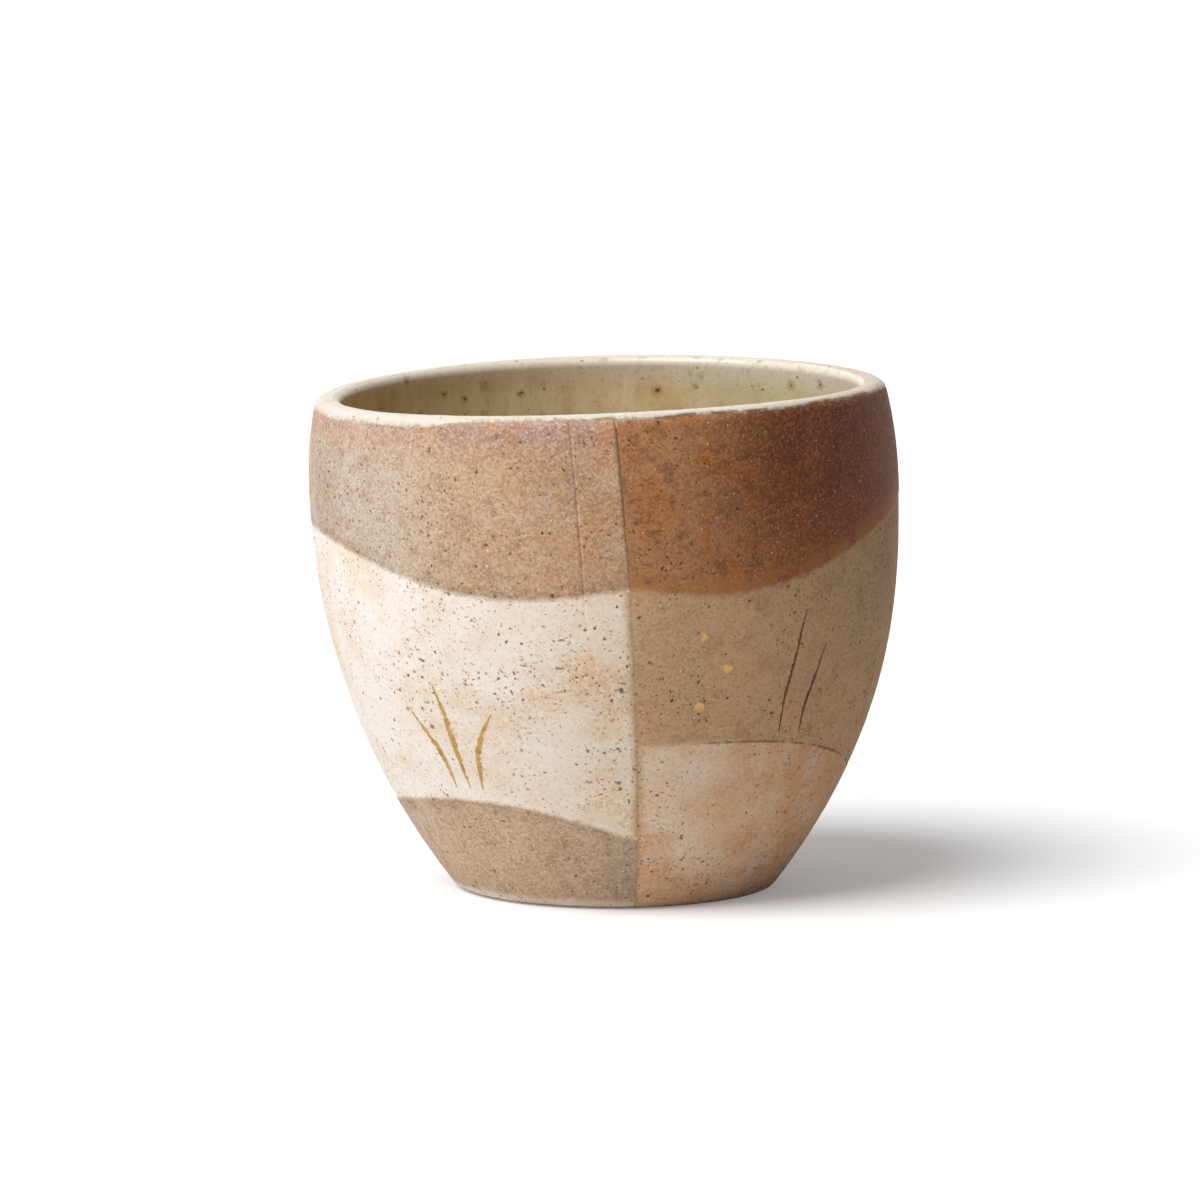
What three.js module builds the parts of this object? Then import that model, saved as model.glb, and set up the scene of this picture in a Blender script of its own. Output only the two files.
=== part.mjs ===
// A slab-built stoneware tea cup without a handle. One clay slab is rolled round and lapped on itself at
// the front, a disc is set into its foot, and slips, glaze and painted marks lie on the clay as thin shells.
// Units are millimetres and degrees. +Z is up, and the origin is the middle of the foot, on the table.
// Angles run round the cup from the front (-Y) towards the right (+X).
import * as THREE from "three";

// The cup's outline
const lipHeight = 75.9; // mean height of the clay lip above the table
const bellyRadius = 44.6; // outside of the clay at its widest ring
const rimDrawIn = 1.6; // the lip is drawn in from the belly by this much
const bellyDrop = 14; // the widest ring lies this far below the lip
const footRadius = 24; // outside of the clay at the table
const swellPower = 2.32; // how quickly the wall swells from foot to belly
const wallThickness = 4;
const lipRound = 1.5; // radius of both edges of the lip
const footRound = 0.8; // radius of the outer edge of the foot

// What the hand does to the round form
const leanAtLip = -2.35; // the lip sits this far to one side of the foot
const leanPower = 1.8; // how late the lean sets in on the way up
const lipRise = 1.4; // the lip is this much higher than its mean on the right, and lower on the left
const lipWave = 0.34; // swing of the uneven lip
const lipWaves = 2; // rises of the uneven lip round the cup
const wavePhase = 66; // where the first of them starts
const twistAtLip = -3.6; // the seam leans by this angle from foot to lip

// The lap seam
const seamAngle = 6.5; // where the seam meets the table
const lapWidth = 6.7; // the slanted joint runs this far round the wall
const slurryThickness = 0.5; // film of slurry in each joint
const jointClearance = 0.15; // from a slurry film to the clay on each side of it

// The floor
const baseThickness = 5;
const coilWidth = 5; // the coil covers this much of the floor
const coilHeight = 5; // and this much of the wall
const coilFullness = 0.35; // how far the coil's hollow face stands out from the corner

// The coats
const coatClearance = 0.15; // from a coat to what carries it
const slipThickness = 0.35;
const glazeThickness = 0.6; // inside the bowl
const lipGlazeThickness = 0.35;
const markThickness = 0.2; // iron and gold brush marks
const lipSkirt = 1.3; // the lip's glaze reaches this far down the outside
const coatGap = 0.4; // between two coats that lie side by side
const footMargin = 1.6; // bare clay below the coats at the foot
const leastWidth = 1.2; // width of a coat where it runs out
const dipSwing = 2.5; // slow swing of each dip line

// How far each slip reaches from the lip or the foot, at the seam and at its far end
const brownRimAtSeam = 22;
const brownRimAtFar = 17;
const brownFootAtSeam = 10;
const brownFootAtFar = 20;
const rustRimAtSeam = 22;
const rustRimAtFar = 16;
const peachFootAtSeam = 25;
const peachFootAtFar = 12;

// The painted marks
const bladeWidth = 1.5;
const bladeSweep = 5; // the outer blades bend aside by this much
const reedWidth = 0.8;
const reedSweep = 3.5;
const markTip = 0.3; // width of a mark at its ends
const markLift = 1.5; // from an edge of slip to the foot of a mark
const dotRadius = 0.9;

// How finely the surfaces are faceted
const segments = 48; // round the cup
const wallRows = 10; // up the straight part of the wall
const edgeSteps = 3; // round an edge of the lip or foot
const coilSteps = 4; // across the coil's hollow face
const degreesPerColumn = 6; // along a slip coat
const bandRows = 5; // up a slip at the lip or the foot
const fieldRows = 12; // up the cream slip between them
const markRows = 8; // along a brush mark
const dotSides = 12;

const rimRadius = bellyRadius - rimDrawIn;
const bellyHeight = lipHeight - bellyDrop;
const lipShoulder = lipHeight - lipRound; // where the lip starts to round over
const floorHeight = baseThickness;
const coilTop = floorHeight + coilHeight;

const clamp01 = (value) => Math.min(1, Math.max(0, value));
const mix = (a, b, share) => a + (b - a) * share;
const radians = THREE.MathUtils.degToRad;

// Outside radius of the clay, without its rounded edges
function outerRadius(z) {
  if (z < bellyHeight) {
    const toBelly = 1 - z / bellyHeight;
    return bellyRadius - (bellyRadius - footRadius) * toBelly ** swellPower;
  }
  const pastBelly = (z - bellyHeight) / bellyDrop;
  return bellyRadius - rimDrawIn * pastBelly ** 2;
}

// Horizontal run through the wall for each millimetre of its thickness
function runPerThickness(z) {
  const step = 0.01;
  const slope = (outerRadius(z + step) - outerRadius(z - step)) / (2 * step);
  return Math.hypot(1, slope);
}

// Radius at a depth below the outside of the clay; a depth below zero lies outside it
const radiusAt = (z, depth) => outerRadius(z) - depth * runPerThickness(z);

// Radius of the wall's inside, less a clearance
const insideRadius = (z, clearance) => radiusAt(z, wallThickness + clearance);

const onWall = (angle, z, depth) => {
  const radius = radiusAt(z, depth);
  return [radius * Math.sin(radians(angle)), -radius * Math.cos(radians(angle)), z];
};

// Angle that a length measured round the cup takes at a height
const angleOf = (length, z) => THREE.MathUtils.radToDeg(length / outerRadius(z));

// Moves every point of a geometry as the hand moves the soft clay: a twist, a lean and an uneven lip.
// Nothing moves at the table, so the foot stays flat.
function shapeByHand(geometry) {
  const position = geometry.attributes.position;
  const turnAxis = new THREE.Vector3(0, 0, 1);
  const point = new THREE.Vector3();
  for (let i = 0; i < position.count; i++) {
    point.fromBufferAttribute(position, i);
    const up = Math.max(0, point.z) / lipHeight;
    point.applyAxisAngle(turnAxis, radians(twistAtLip) * up);
    const outward = Math.min(1, Math.hypot(point.x, point.y) / footRadius);
    const angle = Math.atan2(point.x, -point.y);
    const wave = lipWave * Math.sin(lipWaves * angle + radians(wavePhase)) * outward;
    point.z += (lipRise * point.x / rimRadius + wave) * up ** 2;
    point.x += leanAtLip * up ** leanPower;
    position.setXYZ(i, point.x, point.y, point.z);
  }
  geometry.deleteAttribute("uv");
  geometry.computeVertexNormals();
  return geometry;
}

// Bends a flat geometry onto the wall with a function of its own x, y and z
function bent(geometry, place) {
  const position = geometry.attributes.position;
  for (let i = 0; i < position.count; i++) {
    position.setXYZ(i, ...place(position.getX(i), position.getY(i), position.getZ(i)));
  }
  return shapeByHand(geometry);
}

// A flat sheet with columns and rows, bent into place by a function of three shares from 0 to 1:
// along the columns, up the rows, and from the inner face to the outer one
function bentSheet(columns, rows, place) {
  const sheet = new THREE.BoxGeometry(1, 1, 1, columns, rows, 1).translate(0.5, 0.5, 0.5);
  return bent(sheet, place);
}

// A profile of [radius, height] points, turned round the cup's axis
function turned(profile) {
  const points = profile.map(([radius, z]) => new THREE.Vector2(radius, z));
  return shapeByHand(new THREE.LatheGeometry(points, segments).rotateX(Math.PI / 2));
}

// Heights of the rows of the wall: close together at the rounded foot and lip
const wallHeights = (() => {
  const heights = [];
  for (let i = 0; i < edgeSteps; i++) {
    heights.push(footRound * (1 - Math.cos((Math.PI / 2) * (i / edgeSteps))));
  }
  for (let i = 0; i <= wallRows; i++) {
    heights.push(mix(footRound, lipShoulder, i / wallRows));
  }
  for (let i = 1; i <= edgeSteps; i++) {
    heights.push(lipShoulder + lipRound * Math.sin((Math.PI / 2) * (i / edgeSteps)));
  }
  return heights;
})();

// How far a quarter-round edge has drawn in at a rise above the start of its curve
const drawIn = (radius, rise) => radius - Math.sqrt(Math.max(0, radius ** 2 - rise ** 2));

// A height on the wall, and a depth from its inside to its outside, with the rounded edges
function wallPoint(up, out) {
  const z = wallHeights[Math.round(up * (wallHeights.length - 1))];
  const lip = drawIn(lipRound, Math.max(0, z - lipShoulder));
  const foot = drawIn(footRound, Math.max(0, footRound - z));
  return { z, depth: mix(wallThickness - lip, Math.max(lip, foot), out) };
}

// Angle at which the lap joint lies at a depth in the wall: it slants from the seam line to the left
const lapAngle = (z, depth) => seamAngle - angleOf(lapWidth, z) * (depth / wallThickness);

// Width round the wall of something that fills the slanted joint to a thickness
const acrossJoint = (thickness) => thickness / Math.sin(Math.atan2(wallThickness, lapWidth));
const jointThickness = slurryThickness + 2 * jointClearance;

// The wall: a slab whose slanted ends meet in the lap seam
function wallSlab() {
  return bentSheet(segments, wallHeights.length - 1, (along, up, out) => {
    const { z, depth } = wallPoint(up, out);
    const joint = angleOf(acrossJoint(jointThickness), z);
    return onWall(lapAngle(z, depth) + joint / 2 + along * (360 - joint), z, depth);
  });
}

// The slurry in the lap seam, as high as the wall
function seamSlurry() {
  return bentSheet(1, wallHeights.length - 1, (along, up, out) => {
    const { z, depth } = wallPoint(up, out);
    const film = angleOf(acrossJoint(slurryThickness), z);
    return onWall(lapAngle(z, depth) + (along - 0.5) * film, z, depth);
  });
}

// The floor, its edge slanted like the inside of the wall
const baseLevels = [0, floorHeight / 2, floorHeight];
function baseDisc() {
  const edge = baseLevels.map((z) => [insideRadius(z, jointThickness), z]);
  return turned([[0, 0], ...edge, [0, floorHeight]]);
}

// The slurry between the floor's edge and the wall
function baseSlurry() {
  const outer = baseLevels.map((z) => [insideRadius(z, jointClearance), z]);
  const inner = baseLevels.map((z) => [insideRadius(z, jointClearance + slurryThickness), z]).reverse();
  return turned([...inner, ...outer, inner[0]]);
}

// The hollow curve that the coil and the glaze over it follow, from the floor to the wall, kept off the clay
function coilCurve(clearance) {
  const low = floorHeight + clearance;
  const corner = new THREE.Vector2(insideRadius(low, clearance), low);
  const foot = new THREE.Vector2(corner.x - coilWidth, low);
  const head = new THREE.Vector2(insideRadius(coilTop, clearance), coilTop);
  const bend = corner.clone().lerp(foot.clone().lerp(head, 0.5), coilFullness);
  const points = new THREE.QuadraticBezierCurve(foot, bend, head).getPoints(coilSteps);
  return points.map((point) => [point.x, point.y]);
}

// The coil: its hollow face, then the corner behind it
function baseCoil() {
  const face = coilCurve(coatClearance);
  const low = floorHeight + coatClearance;
  const back = [low, mix(low, coilTop, 0.5)].map((z) => [insideRadius(z, coatClearance), z]);
  return turned([face[0], ...back, ...face.reverse()]);
}

// The glaze inside the bowl: over the floor, up the coil's curve and up the wall to the lip
function innerGlaze() {
  const top = lipShoulder - coatGap;
  const levels = wallHeights.filter((z) => z > coilTop + lipRound && z < top - lipRound);
  const face = (clearance) => {
    const wall = [...levels, top].map((z) => [insideRadius(z, clearance), z]);
    const curve = coilCurve(clearance);
    return [[0, curve[0][1]], ...curve, ...wall];
  };
  const under = face(2 * coatClearance);
  const over = face(2 * coatClearance + glazeThickness);
  return turned([...under, ...over.reverse()]);
}

// The glaze over the lip, from its skirt outside to the top of the inner glaze
function lipGlaze() {
  const skin = (clearance) => {
    const skirt = lipShoulder - lipSkirt;
    const end = lipShoulder - coatGap / 2;
    const reach = lipRound + clearance;
    const turns = Array.from({ length: edgeSteps + 1 }, (_, i) => (Math.PI / 2) * (i / edgeSteps));
    const edge = turns.map((turn) => [reach * Math.cos(turn), lipShoulder + reach * Math.sin(turn)]);
    const outer = edge.map(([side, z]) => [radiusAt(z, lipRound - side), z]);
    const inner = edge.map(([side, z]) => [radiusAt(z, wallThickness - lipRound + side), z]).reverse();
    return [[radiusAt(skirt, -clearance), skirt], ...outer, ...inner, [insideRadius(end, clearance), end]];
  };
  const under = skin(coatClearance);
  const over = skin(coatClearance + lipGlazeThickness);
  return turned([...over, ...under.reverse(), over[0]]);
}

// The slips under the lip start clear of the lip's skirt
const slipTop = lipShoulder - lipSkirt - coatGap;

// The slips start on each side of the seam, and every column of theirs lies at a whole step from it
const seamMargin = angleOf(coatGap, bellyHeight) / 2;
const leftColumn = (count) => seamAngle - seamMargin - count * degreesPerColumn;
const rightColumn = (count) => seamAngle + seamMargin + count * degreesPerColumn;

const runOutPower = 6; // how suddenly a slip runs out at its far end

// A dip line: how far a slip reaches from the lip or the foot at an angle. It changes evenly from the seam
// to the far end with a slow swing, and runs out there. Past that end the next coat takes up its gap too.
function dipLine({ seam, far, atSeam, atFar, turns }) {
  return (angle) => {
    const share = (angle - seam) / (far - seam);
    const halfColumn = degreesPerColumn / 2 / Math.abs(far - seam);
    if (share > 1 + halfColumn) {
      return -coatGap;
    }
    const reach = mix(atSeam, atFar, share) + dipSwing * Math.sin(2 * Math.PI * turns * share);
    return Math.max(leastWidth, reach * (1 - clamp01(share) ** runOutPower));
  };
}

const brownRimEnd = leftColumn(24);
const brownRimDip = dipLine({
  seam: leftColumn(0), far: brownRimEnd, atSeam: brownRimAtSeam, atFar: brownRimAtFar, turns: 1.4,
});
const brownFootEnd = leftColumn(20);
const brownFootRise = dipLine({
  seam: leftColumn(0), far: brownFootEnd, atSeam: brownFootAtSeam, atFar: brownFootAtFar, turns: 1,
});
const rustRimEnd = rightColumn(19);
const rustRimDip = dipLine({
  seam: rightColumn(0), far: rustRimEnd, atSeam: rustRimAtSeam, atFar: rustRimAtFar, turns: 1.2,
});
const peachFootEnd = rightColumn(25);
const peachFootRise = dipLine({
  seam: rightColumn(0), far: peachFootEnd, atSeam: peachFootAtSeam, atFar: peachFootAtFar, turns: 1.1,
});
const creamEnd = leftColumn(30);
const creamTongue = 66; // the cream's round end takes up this angle

// A slip coat between two lines of height, lying on the clay
function slipCoat({ from, to, lower, upper, rows }) {
  const columns = Math.round((to - from) / degreesPerColumn);
  return bentSheet(columns, rows, (along, up, out) => {
    const angle = mix(from, to, along);
    const z = mix(lower(angle), upper(angle), up);
    return onWall(angle, z, -coatClearance - slipThickness * out);
  });
}

// The cream slip fills the left of the wall between the brown slips, and has a round end at the back. The
// end is cut half a column before its curve closes, so that it is blunt and not pointed.
const creamLower = (angle) => footMargin + brownFootRise(angle) + coatGap;
const creamUpper = (angle) => slipTop - brownRimDip(angle) - coatGap;

function creamSlip() {
  const closing = (angle) => {
    const toEnd = clamp01(1 - (angle - creamEnd + degreesPerColumn / 2) / creamTongue);
    return Math.sqrt(1 - toEnd ** 2);
  };
  const edge = (angle, side) => {
    const middle = mix(creamLower(angle), creamUpper(angle), 0.5);
    const half = (creamUpper(angle) - creamLower(angle)) / 2;
    return middle + side * Math.max(leastWidth / 2, half * closing(angle));
  };
  return slipCoat({
    from: creamEnd,
    to: leftColumn(0),
    lower: (angle) => edge(angle, -1),
    upper: (angle) => edge(angle, 1),
    rows: fieldRows,
  });
}

// A slip hanging from the lip, and one rising from the foot
const rimSlip = (from, to, dip) =>
  slipCoat({ from, to, lower: (angle) => slipTop - dip(angle), upper: () => slipTop, rows: bandRows });
const footSlip = (from, to, rise) =>
  slipCoat({ from, to, lower: () => footMargin, upper: (angle) => footMargin + rise(angle), rows: bandRows });

// What lies between a mark and the clay: a slip, or nothing
const onSlip = -(2 * coatClearance + slipThickness);
const onClay = -coatClearance;

// A brush mark that springs from a foot and bends aside, widest in its middle and thin at its ends
function brushMark({ angle, foot, head, sweep, width, depth }) {
  return bentSheet(2, markRows, (along, up, out) => {
    const z = mix(foot, head, up);
    const span = markTip + (width - markTip) * Math.sin(Math.PI * up);
    const aside = sweep * up ** 2 + (along - 0.5) * span;
    return onWall(angle + angleOf(aside, z), z, depth - markThickness * out);
  });
}

// A round dot of the brush
function brushDot({ angle, height, depth }) {
  const disc = new THREE.CylinderGeometry(dotRadius, dotRadius, markThickness, dotSides).rotateX(Math.PI / 2);
  return bent(disc, (aside, up, out) => {
    const z = height + up;
    return onWall(angle + angleOf(aside, z), z, depth - markThickness / 2 - out);
  });
}

const finishes = {
  stoneware: { color: "#a9875f", roughness: 0.85 },
  slurry: { color: "#8f7350", roughness: 0.9 },
  oliveGlaze: { color: "#b6a578", roughness: 0.3 },
  paleGlaze: { color: "#e9dfcb", roughness: 0.4 },
  cream: { color: "#efe3d0", roughness: 0.7 },
  greyBrown: { color: "#b5957a", roughness: 0.8 },
  rust: { color: "#8f5734", roughness: 0.65 },
  peach: { color: "#d0a888", roughness: 0.75 },
  iron: { color: "#5c3f2c", roughness: 0.6 },
  gold: { color: "#b08a48", roughness: 0.35, metalness: 1 },
};

const cup = new THREE.Group();

function add(name, geometry, finish) {
  const mesh = new THREE.Mesh(geometry, new THREE.MeshStandardMaterial(finish));
  mesh.name = name;
  cup.add(mesh);
}

add("wall_slab", wallSlab(), finishes.stoneware);
add("seam_slurry", seamSlurry(), finishes.slurry);
add("base_disc", baseDisc(), finishes.stoneware);
add("base_slurry", baseSlurry(), finishes.slurry);
add("base_coil", baseCoil(), finishes.stoneware);
add("inner_glaze", innerGlaze(), finishes.oliveGlaze);
add("lip_glaze", lipGlaze(), finishes.paleGlaze);
add("cream_slip", creamSlip(), finishes.cream);
add("brown_rim_slip", rimSlip(brownRimEnd, leftColumn(0), brownRimDip), finishes.greyBrown);
add("brown_foot_slip", footSlip(brownFootEnd, leftColumn(0), brownFootRise), finishes.greyBrown);
add("rust_rim_slip", rimSlip(rightColumn(0), rustRimEnd, rustRimDip), finishes.rust);
add("peach_foot_slip", footSlip(rightColumn(0), peachFootEnd, peachFootRise), finishes.peach);

// The bare clay between the rust and the peach slip
const clayLower = (angle) => footMargin + peachFootRise(angle);
const clayUpper = (angle) => slipTop - rustRimDip(angle);

// A tuft of gold blades stands on the brown slip's edge. Each rises by a share of the cream above it.
const tuft = [
  { name: "gold_blade_left", angle: -40, rise: 0.38, lean: -1 },
  { name: "gold_blade_middle", angle: -36, rise: 0.52, lean: -0.3 },
  { name: "gold_blade_right", angle: -32, rise: 0.4, lean: 1 },
];
for (const { name, angle, rise, lean } of tuft) {
  const foot = creamLower(angle) + markLift;
  const head = mix(foot, creamUpper(angle), rise);
  const blade = { angle, foot, head, sweep: lean * bladeSweep, width: bladeWidth, depth: onSlip };
  add(name, brushMark(blade), finishes.gold);
}

// Iron reeds stand on the peach slip's edge, and gold dots float over it
const reeds = [
  { name: "iron_reed_tall", angle: 40, rise: 0.8 },
  { name: "iron_reed_short", angle: 46, rise: 0.55 },
];
for (const { name, angle, rise } of reeds) {
  const foot = clayLower(angle) + markLift;
  const head = mix(foot, clayUpper(angle), rise);
  const reed = { angle, foot, head, sweep: reedSweep, width: reedWidth, depth: onClay };
  add(name, brushMark(reed), finishes.iron);
}

const dots = [
  { name: "gold_dot_low", angle: 20, rise: 0.25 },
  { name: "gold_dot_middle", angle: 26, rise: 0.5 },
  { name: "gold_dot_high", angle: 21, rise: 0.72 },
];
for (const { name, angle, rise } of dots) {
  const height = mix(clayLower(angle), clayUpper(angle), rise);
  add(name, brushDot({ angle, height, depth: onClay }), finishes.gold);
}

export default cup;
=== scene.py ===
# %% [markdown]
# # A slab-built tea cup
# The cup is a clay slab rolled round a floor disc and lapped on itself at the front. It is dipped in slips,
# marked with iron and gold, and glazed inside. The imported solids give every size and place. This lesson lays
# fine surfaces on the same shape, so that the seam, the worked lip and the coats show as on a fired cup.

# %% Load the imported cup
import math

import bpy
import numpy as np
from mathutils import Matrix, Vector


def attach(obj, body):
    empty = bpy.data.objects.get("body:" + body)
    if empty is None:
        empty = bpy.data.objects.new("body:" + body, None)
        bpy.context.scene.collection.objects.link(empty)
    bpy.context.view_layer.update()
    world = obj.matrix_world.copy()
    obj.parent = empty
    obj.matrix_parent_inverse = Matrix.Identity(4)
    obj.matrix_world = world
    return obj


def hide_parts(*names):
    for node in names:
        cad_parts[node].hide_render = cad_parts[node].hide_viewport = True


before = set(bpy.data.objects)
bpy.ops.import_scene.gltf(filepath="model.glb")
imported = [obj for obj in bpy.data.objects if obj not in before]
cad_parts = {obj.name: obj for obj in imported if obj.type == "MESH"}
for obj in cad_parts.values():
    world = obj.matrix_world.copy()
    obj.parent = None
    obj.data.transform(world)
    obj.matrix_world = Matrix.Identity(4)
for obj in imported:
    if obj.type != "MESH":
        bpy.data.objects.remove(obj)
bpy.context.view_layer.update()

# %% [markdown]
# A potter draws a cup as one outline. The same few sizes give it here: the foot, the belly, the lip and the
# thickness of the slab, in millimetres. A formula is better than a copied mesh, because every coat can then
# be laid on exactly the same wall at any fineness.

# %% Outline of the wall
MM = 0.001
lip_height = 75.9
belly_radius = 44.6
rim_draw_in = 1.6
rim_radius = belly_radius - rim_draw_in
belly_drop = 14.0
belly_height = lip_height - belly_drop
foot_radius = 24.0
swell_power = 2.32
wall_thickness = 4.0
lip_round = 1.5
lip_shoulder = lip_height - lip_round
foot_round = 0.8


def wall_radius(z):
    """Outside radius of the clay at a height, without its rounded edges."""
    to_belly = np.clip(1 - z / belly_height, 0, None)
    past_belly = np.clip((z - belly_height) / belly_drop, 0, None)
    swell = (belly_radius - foot_radius) * to_belly ** swell_power
    return belly_radius - swell - rim_draw_in * past_belly ** 2


def wall_slant(z):
    """Horizontal run for each millimetre through the slanted wall."""
    step = 0.01
    return np.hypot(1, (wall_radius(z + step) - wall_radius(z - step)) / (2 * step))


def wall_radius_at(z, rise):
    """Radius at a rise above the clay's outside; a rise below zero lies in the wall."""
    return wall_radius(z) + rise * wall_slant(z)


def round_points(radius, angle, z):
    """Points round the cup's axis. Angles are in degrees from the front towards the right."""
    turn = np.radians(angle)
    return np.stack([radius * np.sin(turn), -radius * np.cos(turn), z], axis=-1)


print("radius at foot, belly and lip:", wall_radius(np.array([0.0, belly_height, lip_height])))

# %% [markdown]
# A hand-built cup isn't a true round. This one leans a little, its lip rises to the right and waves, and the
# seam twists as the clay was turned. A lattice could bend the meshes, but one formula moves fine and coarse
# pieces alike, so they stay together.

# %% The hand that shaped it
lean_at_lip = -2.35
lean_power = 1.8
lip_rise = 1.4
lip_wave = 0.34
lip_waves = 2
wave_phase = 66.0
twist_at_lip = -3.6


def pressed_by_hand(points):
    """The twist, the lean and the uneven lip, on points in millimetres."""
    x, y, z = points[:, 0], points[:, 1], points[:, 2]
    up = np.clip(z, 0, None) / lip_height
    turn = np.radians(twist_at_lip) * up
    x, y = x * np.cos(turn) - y * np.sin(turn), x * np.sin(turn) + y * np.cos(turn)
    outward = np.minimum(1, np.hypot(x, y) / foot_radius)
    wave = lip_wave * np.sin(lip_waves * np.arctan2(x, -y) + np.radians(wave_phase)) * outward
    risen = z + (lip_rise * x / rim_radius + wave) * up ** 2
    return np.stack([x + lean_at_lip * up ** lean_power, y, risen], axis=-1)


print("the lip's front goes to", pressed_by_hand(np.array([[0.0, -rim_radius, lip_height]]))[0])

# %% [markdown]
# The seam is where the two ends of the slab lap. Near the lip it is a sharp groove with the left end
# standing a little proud, and further down it was smoothed until only a faint step is left. A second crease
# shows where the inner end of the slab presses through. Slow hollows come from the fingers. All of this is
# relief on the wall, written once, because the coats follow the clay that they lie on.

# %% Distance from the seam
seam_angle = 6.5


def ease(low, high, value):
    """0 below low, 1 above high, and a smooth step between."""
    share = np.clip((value - low) / (high - low), 0, 1)
    return share * share * (3 - 2 * share)


def bell(distance, width):
    """1 in the middle and fading out over a width on both sides."""
    return np.exp(-(distance / width) ** 2)


def from_seam(angle, z):
    """Millimetres round the wall from the seam, below zero to the left."""
    return np.radians((angle - seam_angle + 180) % 360 - 180) * wall_radius(z)


print("the middle of the front is", from_seam(0.0, belly_height), "mm from the seam")

# %% Relief of the worked clay
lap_width = 6.7
groove_depth = 0.1
groove_width = 0.13
groove_from = 48
groove_full = 68
smoothed_seam = 0.08
lap_step = 0.08
lap_fade = 5.0
crease_depth = 0.14
crease_width = 0.15
crease_from = 40
crease_full = 56
hollow_depth = 0.22
hollow_sink = 1.3
wall_waves = ((3, 11, 1.3), (2, -17, 0), (7, -8, 0))
wall_wave_share = 0.5


def seam_sharpness(z):
    """1 at the lip, where the seam is a groove, and close to 0 where it was smoothed away."""
    return smoothed_seam + (1 - smoothed_seam) * ease(groove_from, groove_full, z)


def finger_waves(angle, z, waves, share):
    """Hollows of the fingers, from -1 to 1: two crossed waves and a share of a third. A wave is its count
    round the cup, the millimetres upwards that turn it by a radian, and its start."""
    turn = np.radians(angle)
    first, second, third = [count * turn + z / height + start for count, height, start in waves]
    return (np.sin(first) * np.cos(second) + share * np.sin(third)) / (1 + share)


def worked_relief(angle, z):
    """How far the worked clay stands above the plain wall. The hollows are sunk, so that nothing grows."""
    aside = from_seam(angle, z)
    sharp = seam_sharpness(z)
    groove = -groove_depth * sharp * bell(aside, groove_width)
    lap = lap_step * sharp * np.where(aside < 0, np.exp(np.minimum(aside, 0) / lap_fade), 0)
    crease = -crease_depth * ease(crease_from, crease_full, z) * bell(aside + lap_width, crease_width)
    hollows = finger_waves(angle, z, wall_waves, wall_wave_share)
    return groove + lap + crease + hollow_depth * (hollows - hollow_sink) / 2


print("relief runs from", worked_relief(np.arange(0.0, 360.0), np.full(360, 60.0)).min(), "mm")

# %% [markdown]
# Most pieces start as a plain primitive, are cut fine, and are then laid on the wall. These helpers start a
# piece with nothing else selected, and read and write its points in millimetres.

# %% Starting a piece and moving its points
def started(name, primitive, **settings):
    """Adds a primitive with nothing else selected, and names it."""
    bpy.ops.object.select_all(action="DESELECT")
    primitive(**settings)
    bpy.context.object.name = name
    return bpy.context.object


def keep_only(piece):
    """Makes one piece the active and only selected object."""
    bpy.ops.object.select_all(action="DESELECT")
    piece.select_set(True)
    bpy.context.view_layer.objects.active = piece


def points_of(piece):
    """The piece's points in millimetres."""
    flat = np.empty(len(piece.data.vertices) * 3, np.float32)
    piece.data.vertices.foreach_get("co", flat)
    return flat.reshape(-1, 3).astype(float) / MM


def put_points(piece, points):
    """Shapes points in millimetres by hand, and gives them to the piece."""
    pressed = pressed_by_hand(points) * MM
    piece.data.vertices.foreach_set("co", pressed.astype(np.float32).ravel())
    piece.data.update()


def keep_value(piece, name, values):
    """Keeps a number for each point as an attribute, which the material reads."""
    kept = piece.data.attributes.new(name, "FLOAT", "POINT")
    kept.data.foreach_set("value", values.astype(np.float32))


print("the packed floor has", len(points_of(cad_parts["base_disc"])), "points")

# %% [markdown]
# The grit of the clay is a Displace modifier with one cloud texture in the object's own space. Every piece
# sits at the origin, so grit runs through all coats alike and none breaks through another. A finished piece
# is smoothed and handed to the frame.

# %% Grit, and handing a piece to the frame
grit_size = 1.7
grit_height = 0.07
smooth_below = math.radians(40)
grit = bpy.data.textures.new("fine_grit", type="CLOUDS")
grit.noise_scale = grit_size * MM
grit.noise_depth = 2


def apply_modifier(piece, kind, **settings):
    """Adds a modifier, sets it and applies it."""
    keep_only(piece)
    modifier = piece.modifiers.new(kind.title(), kind)
    for name, value in settings.items():
        setattr(modifier, name, value)
    bpy.ops.object.modifier_apply(modifier=modifier.name)


def roughen(piece):
    """Grit of the clay body, cut into the surface so that nothing grows."""
    apply_modifier(piece, "DISPLACE", texture=grit, texture_coords="LOCAL", mid_level=1.0,
                   strength=grit_height * MM)


def seat(piece, slot, *nodes):
    """Smooths a finished piece, ties it to the body and hides the nodes that it stands for. The slot is not
    used.
    """
    keep_only(piece)
    bpy.ops.object.shade_smooth_by_angle(angle=smooth_below)
    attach(piece, "root")
    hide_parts(*nodes)
    print(piece.name, "faces:", len(piece.data.polygons))
    return piece


print("grit of", grit_size, "mm is cut", grit_height, "mm deep")

# %% [markdown]
# The clay wall, the lip's glaze and the bowl's glaze are round pieces. Each could be a screw modifier, but a
# profile that is extruded point by point and spun once is what a potter's template does. The columns are
# then gathered near the seam and the crease, where the relief is finest.

# %% Turning a profile
merge_within = 0.001


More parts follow.
